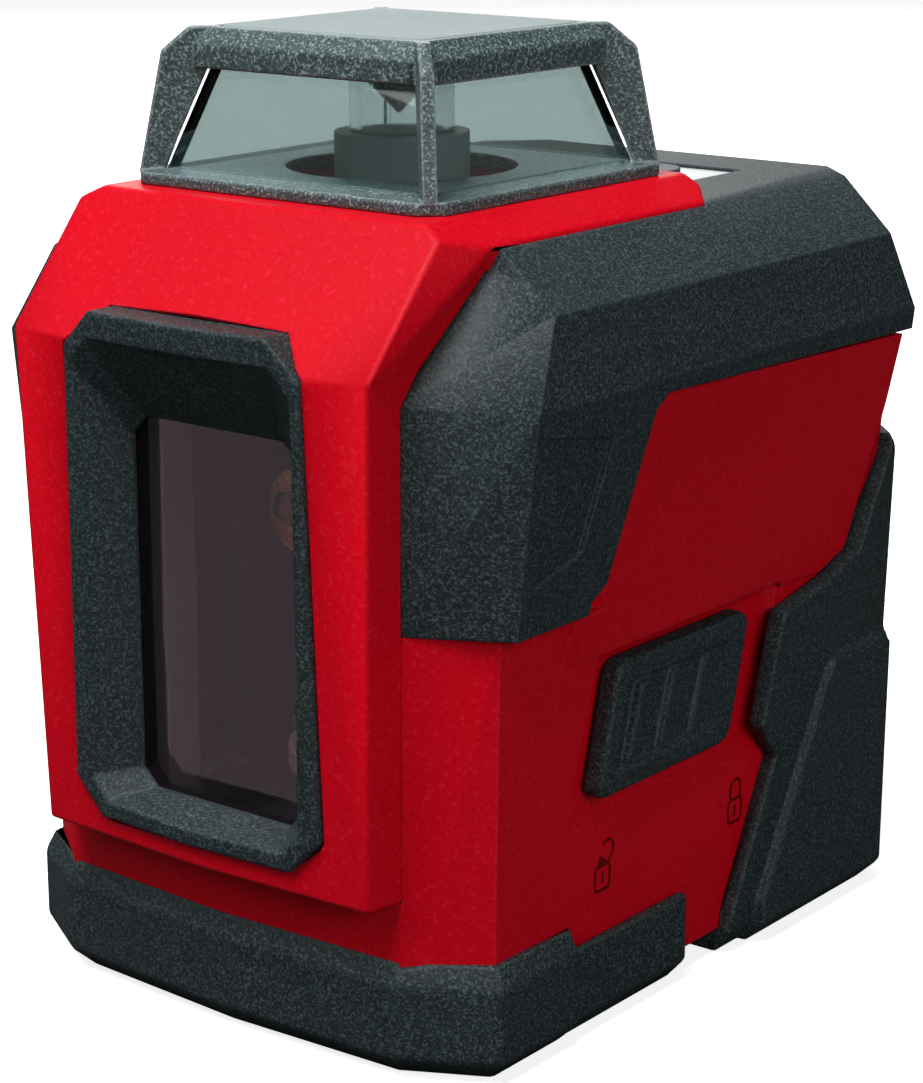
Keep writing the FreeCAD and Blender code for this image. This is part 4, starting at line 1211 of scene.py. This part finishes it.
@dataclass
class Studio:
    """Floor, lamps and camera."""

    target: tuple[float, float, float] = (0.0, 0.0, 0.054)
    place: tuple[float, float, float] = (0.2004, -0.2547, 0.1350)
    azimuth: float = 38.05
    elevation: float = 15.22
    focal: float = 94.47
    film: float = 36.0
    floor_colour: Colour = (0.80, 0.80, 0.80)
    floor_bounce: Colour = (0.06, 0.065, 0.065)
    floor_glow: float = 0.75
    floor_half: float = 3.0
    room_light: float = 0.06
    lamps: tuple[SoftLamp, ...] = (
        SoftLamp("key", (-0.55, -0.85, 0.75), 0.5, 2.1),
        SoftLamp("fill", (0.95, -0.42, 0.48), 0.6, 4.4),
        SoftLamp("top", (-0.05, -0.40, 1.05), 0.6, 14.5),
        SoftLamp("back", (-0.75, 0.75, 0.60), 0.6, 4.5),
    )

    def build(self) -> None:
        """Set the floor, the lamps and the camera."""
        self._floor()
        for soft in self.lamps:
            self._lamp(soft)
        self._world()
        self._camera()

    def _floor(self) -> None:
        """Lay a pale floor that the camera and the panes see bright.

        The lamps' light that it throws back on the object is dimmer.
        """
        form = bmesh.new()
        bmesh.ops.create_grid(form, x_segments=8, y_segments=8, size=self.floor_half)
        mesh = bpy.data.meshes.new("floor")
        form.to_mesh(mesh)
        form.free()
        floor = bpy.data.objects.new("floor", mesh)
        bpy.context.scene.collection.objects.link(floor)
        graph = Graph("floor_paper")
        cloud = graph.noise(3.0, 2.0)
        shade = tuple(c * 0.985 for c in self.floor_colour)
        shader = graph.surface({
            "Base Color": graph.mix(cloud, self.floor_colour, shade),
            "Roughness": 0.9, "Specular IOR Level": 0.0,
        })
        bright = graph.node("ShaderNodeEmission", None, {"Strength": self.floor_glow})
        path = graph.node("ShaderNodeLightPath")
        seen = path("Is Camera Ray") + path("Is Transmission Ray")
        lit = graph.node(
            "ShaderNodeAddShader", None, {0: shader("BSDF"), 1: bright("Emission")})
        dim = graph.surface({
            "Base Color": (*self.floor_bounce, 1.0), "Roughness": 0.9,
            "Specular IOR Level": 0.0,
        })
        both = graph.node(
            "ShaderNodeMixShader", None, {0: seen, 1: dim("BSDF"), 2: lit("Shader")})
        mesh.materials.append(graph.finish(both, "Shader"))

    def _lamp(self, soft: SoftLamp) -> None:
        """Hang one soft lamp that faces the object.

        Args:
            soft: The lamp.
        """
        light = bpy.data.lights.new(soft.name, "AREA")
        light.shape = "SQUARE"
        light.size = soft.size
        light.energy = soft.power
        lamp = bpy.data.objects.new(soft.name, light)
        bpy.context.scene.collection.objects.link(lamp)
        lamp.location = soft.place
        aim = Vector(self.target) - Vector(soft.place)
        lamp.rotation_euler = aim.to_track_quat("-Z", "Y").to_euler()

    def _world(self) -> None:
        """Set a white background and a faint, even room light."""
        world = bpy.data.worlds.new("room")
        bpy.context.scene.world = world
        world.use_nodes = True
        nodes, links = world.node_tree.nodes, world.node_tree.links
        ground = nodes["Background"]
        ground.inputs["Color"].default_value = (1.0, 1.0, 1.0, 1.0)
        path = nodes.new("ShaderNodeLightPath")
        level = nodes.new("ShaderNodeMapRange")
        level.inputs["To Min"].default_value = self.room_light
        level.inputs["To Max"].default_value = 1.0
        seen = nodes.new("ShaderNodeMath")
        links.new(path.outputs["Is Camera Ray"], seen.inputs[0])
        links.new(path.outputs["Is Transmission Ray"], seen.inputs[1])
        links.new(seen.outputs["Value"], level.inputs["Value"])
        links.new(level.outputs["Result"], ground.inputs["Strength"])

    def _camera(self) -> None:
        """Set the camera."""
        data = bpy.data.cameras.new("camera")
        data.lens = self.focal
        data.sensor_fit = "AUTO"
        data.sensor_width = self.film
        camera = bpy.data.objects.new("camera", data)
        bpy.context.scene.collection.objects.link(camera)
        turn = math.radians(self.azimuth)
        lift = math.radians(self.elevation)
        back = Vector((math.sin(turn) * math.cos(lift), -math.cos(turn) * math.cos(lift),
                       math.sin(lift)))
        camera.location = self.place
        camera.rotation_euler = back.to_track_quat("Z", "Y").to_euler()
        bpy.context.scene.camera = camera
        view = bpy.context.scene.view_settings
        view.view_transform = "Standard"
        view.look = "None"


def main() -> None:
    """Build and dress every sub-assembly, then set the studio."""
    logging.basicConfig(level=logging.INFO, format="%(message)s")
    assemblies = (
        Enclosure(), Grips(), Window(), Head(), Pendulum(), Interior(), TravelLock(),
        BatteryDoor(), Keypad(),
    )
    for assembly in assemblies:
        assembly.build()
        assembly.dress()
        LOG.info("%s done", type(assembly).__name__)
    Studio().build()


if __name__ == "__main__":
    main()
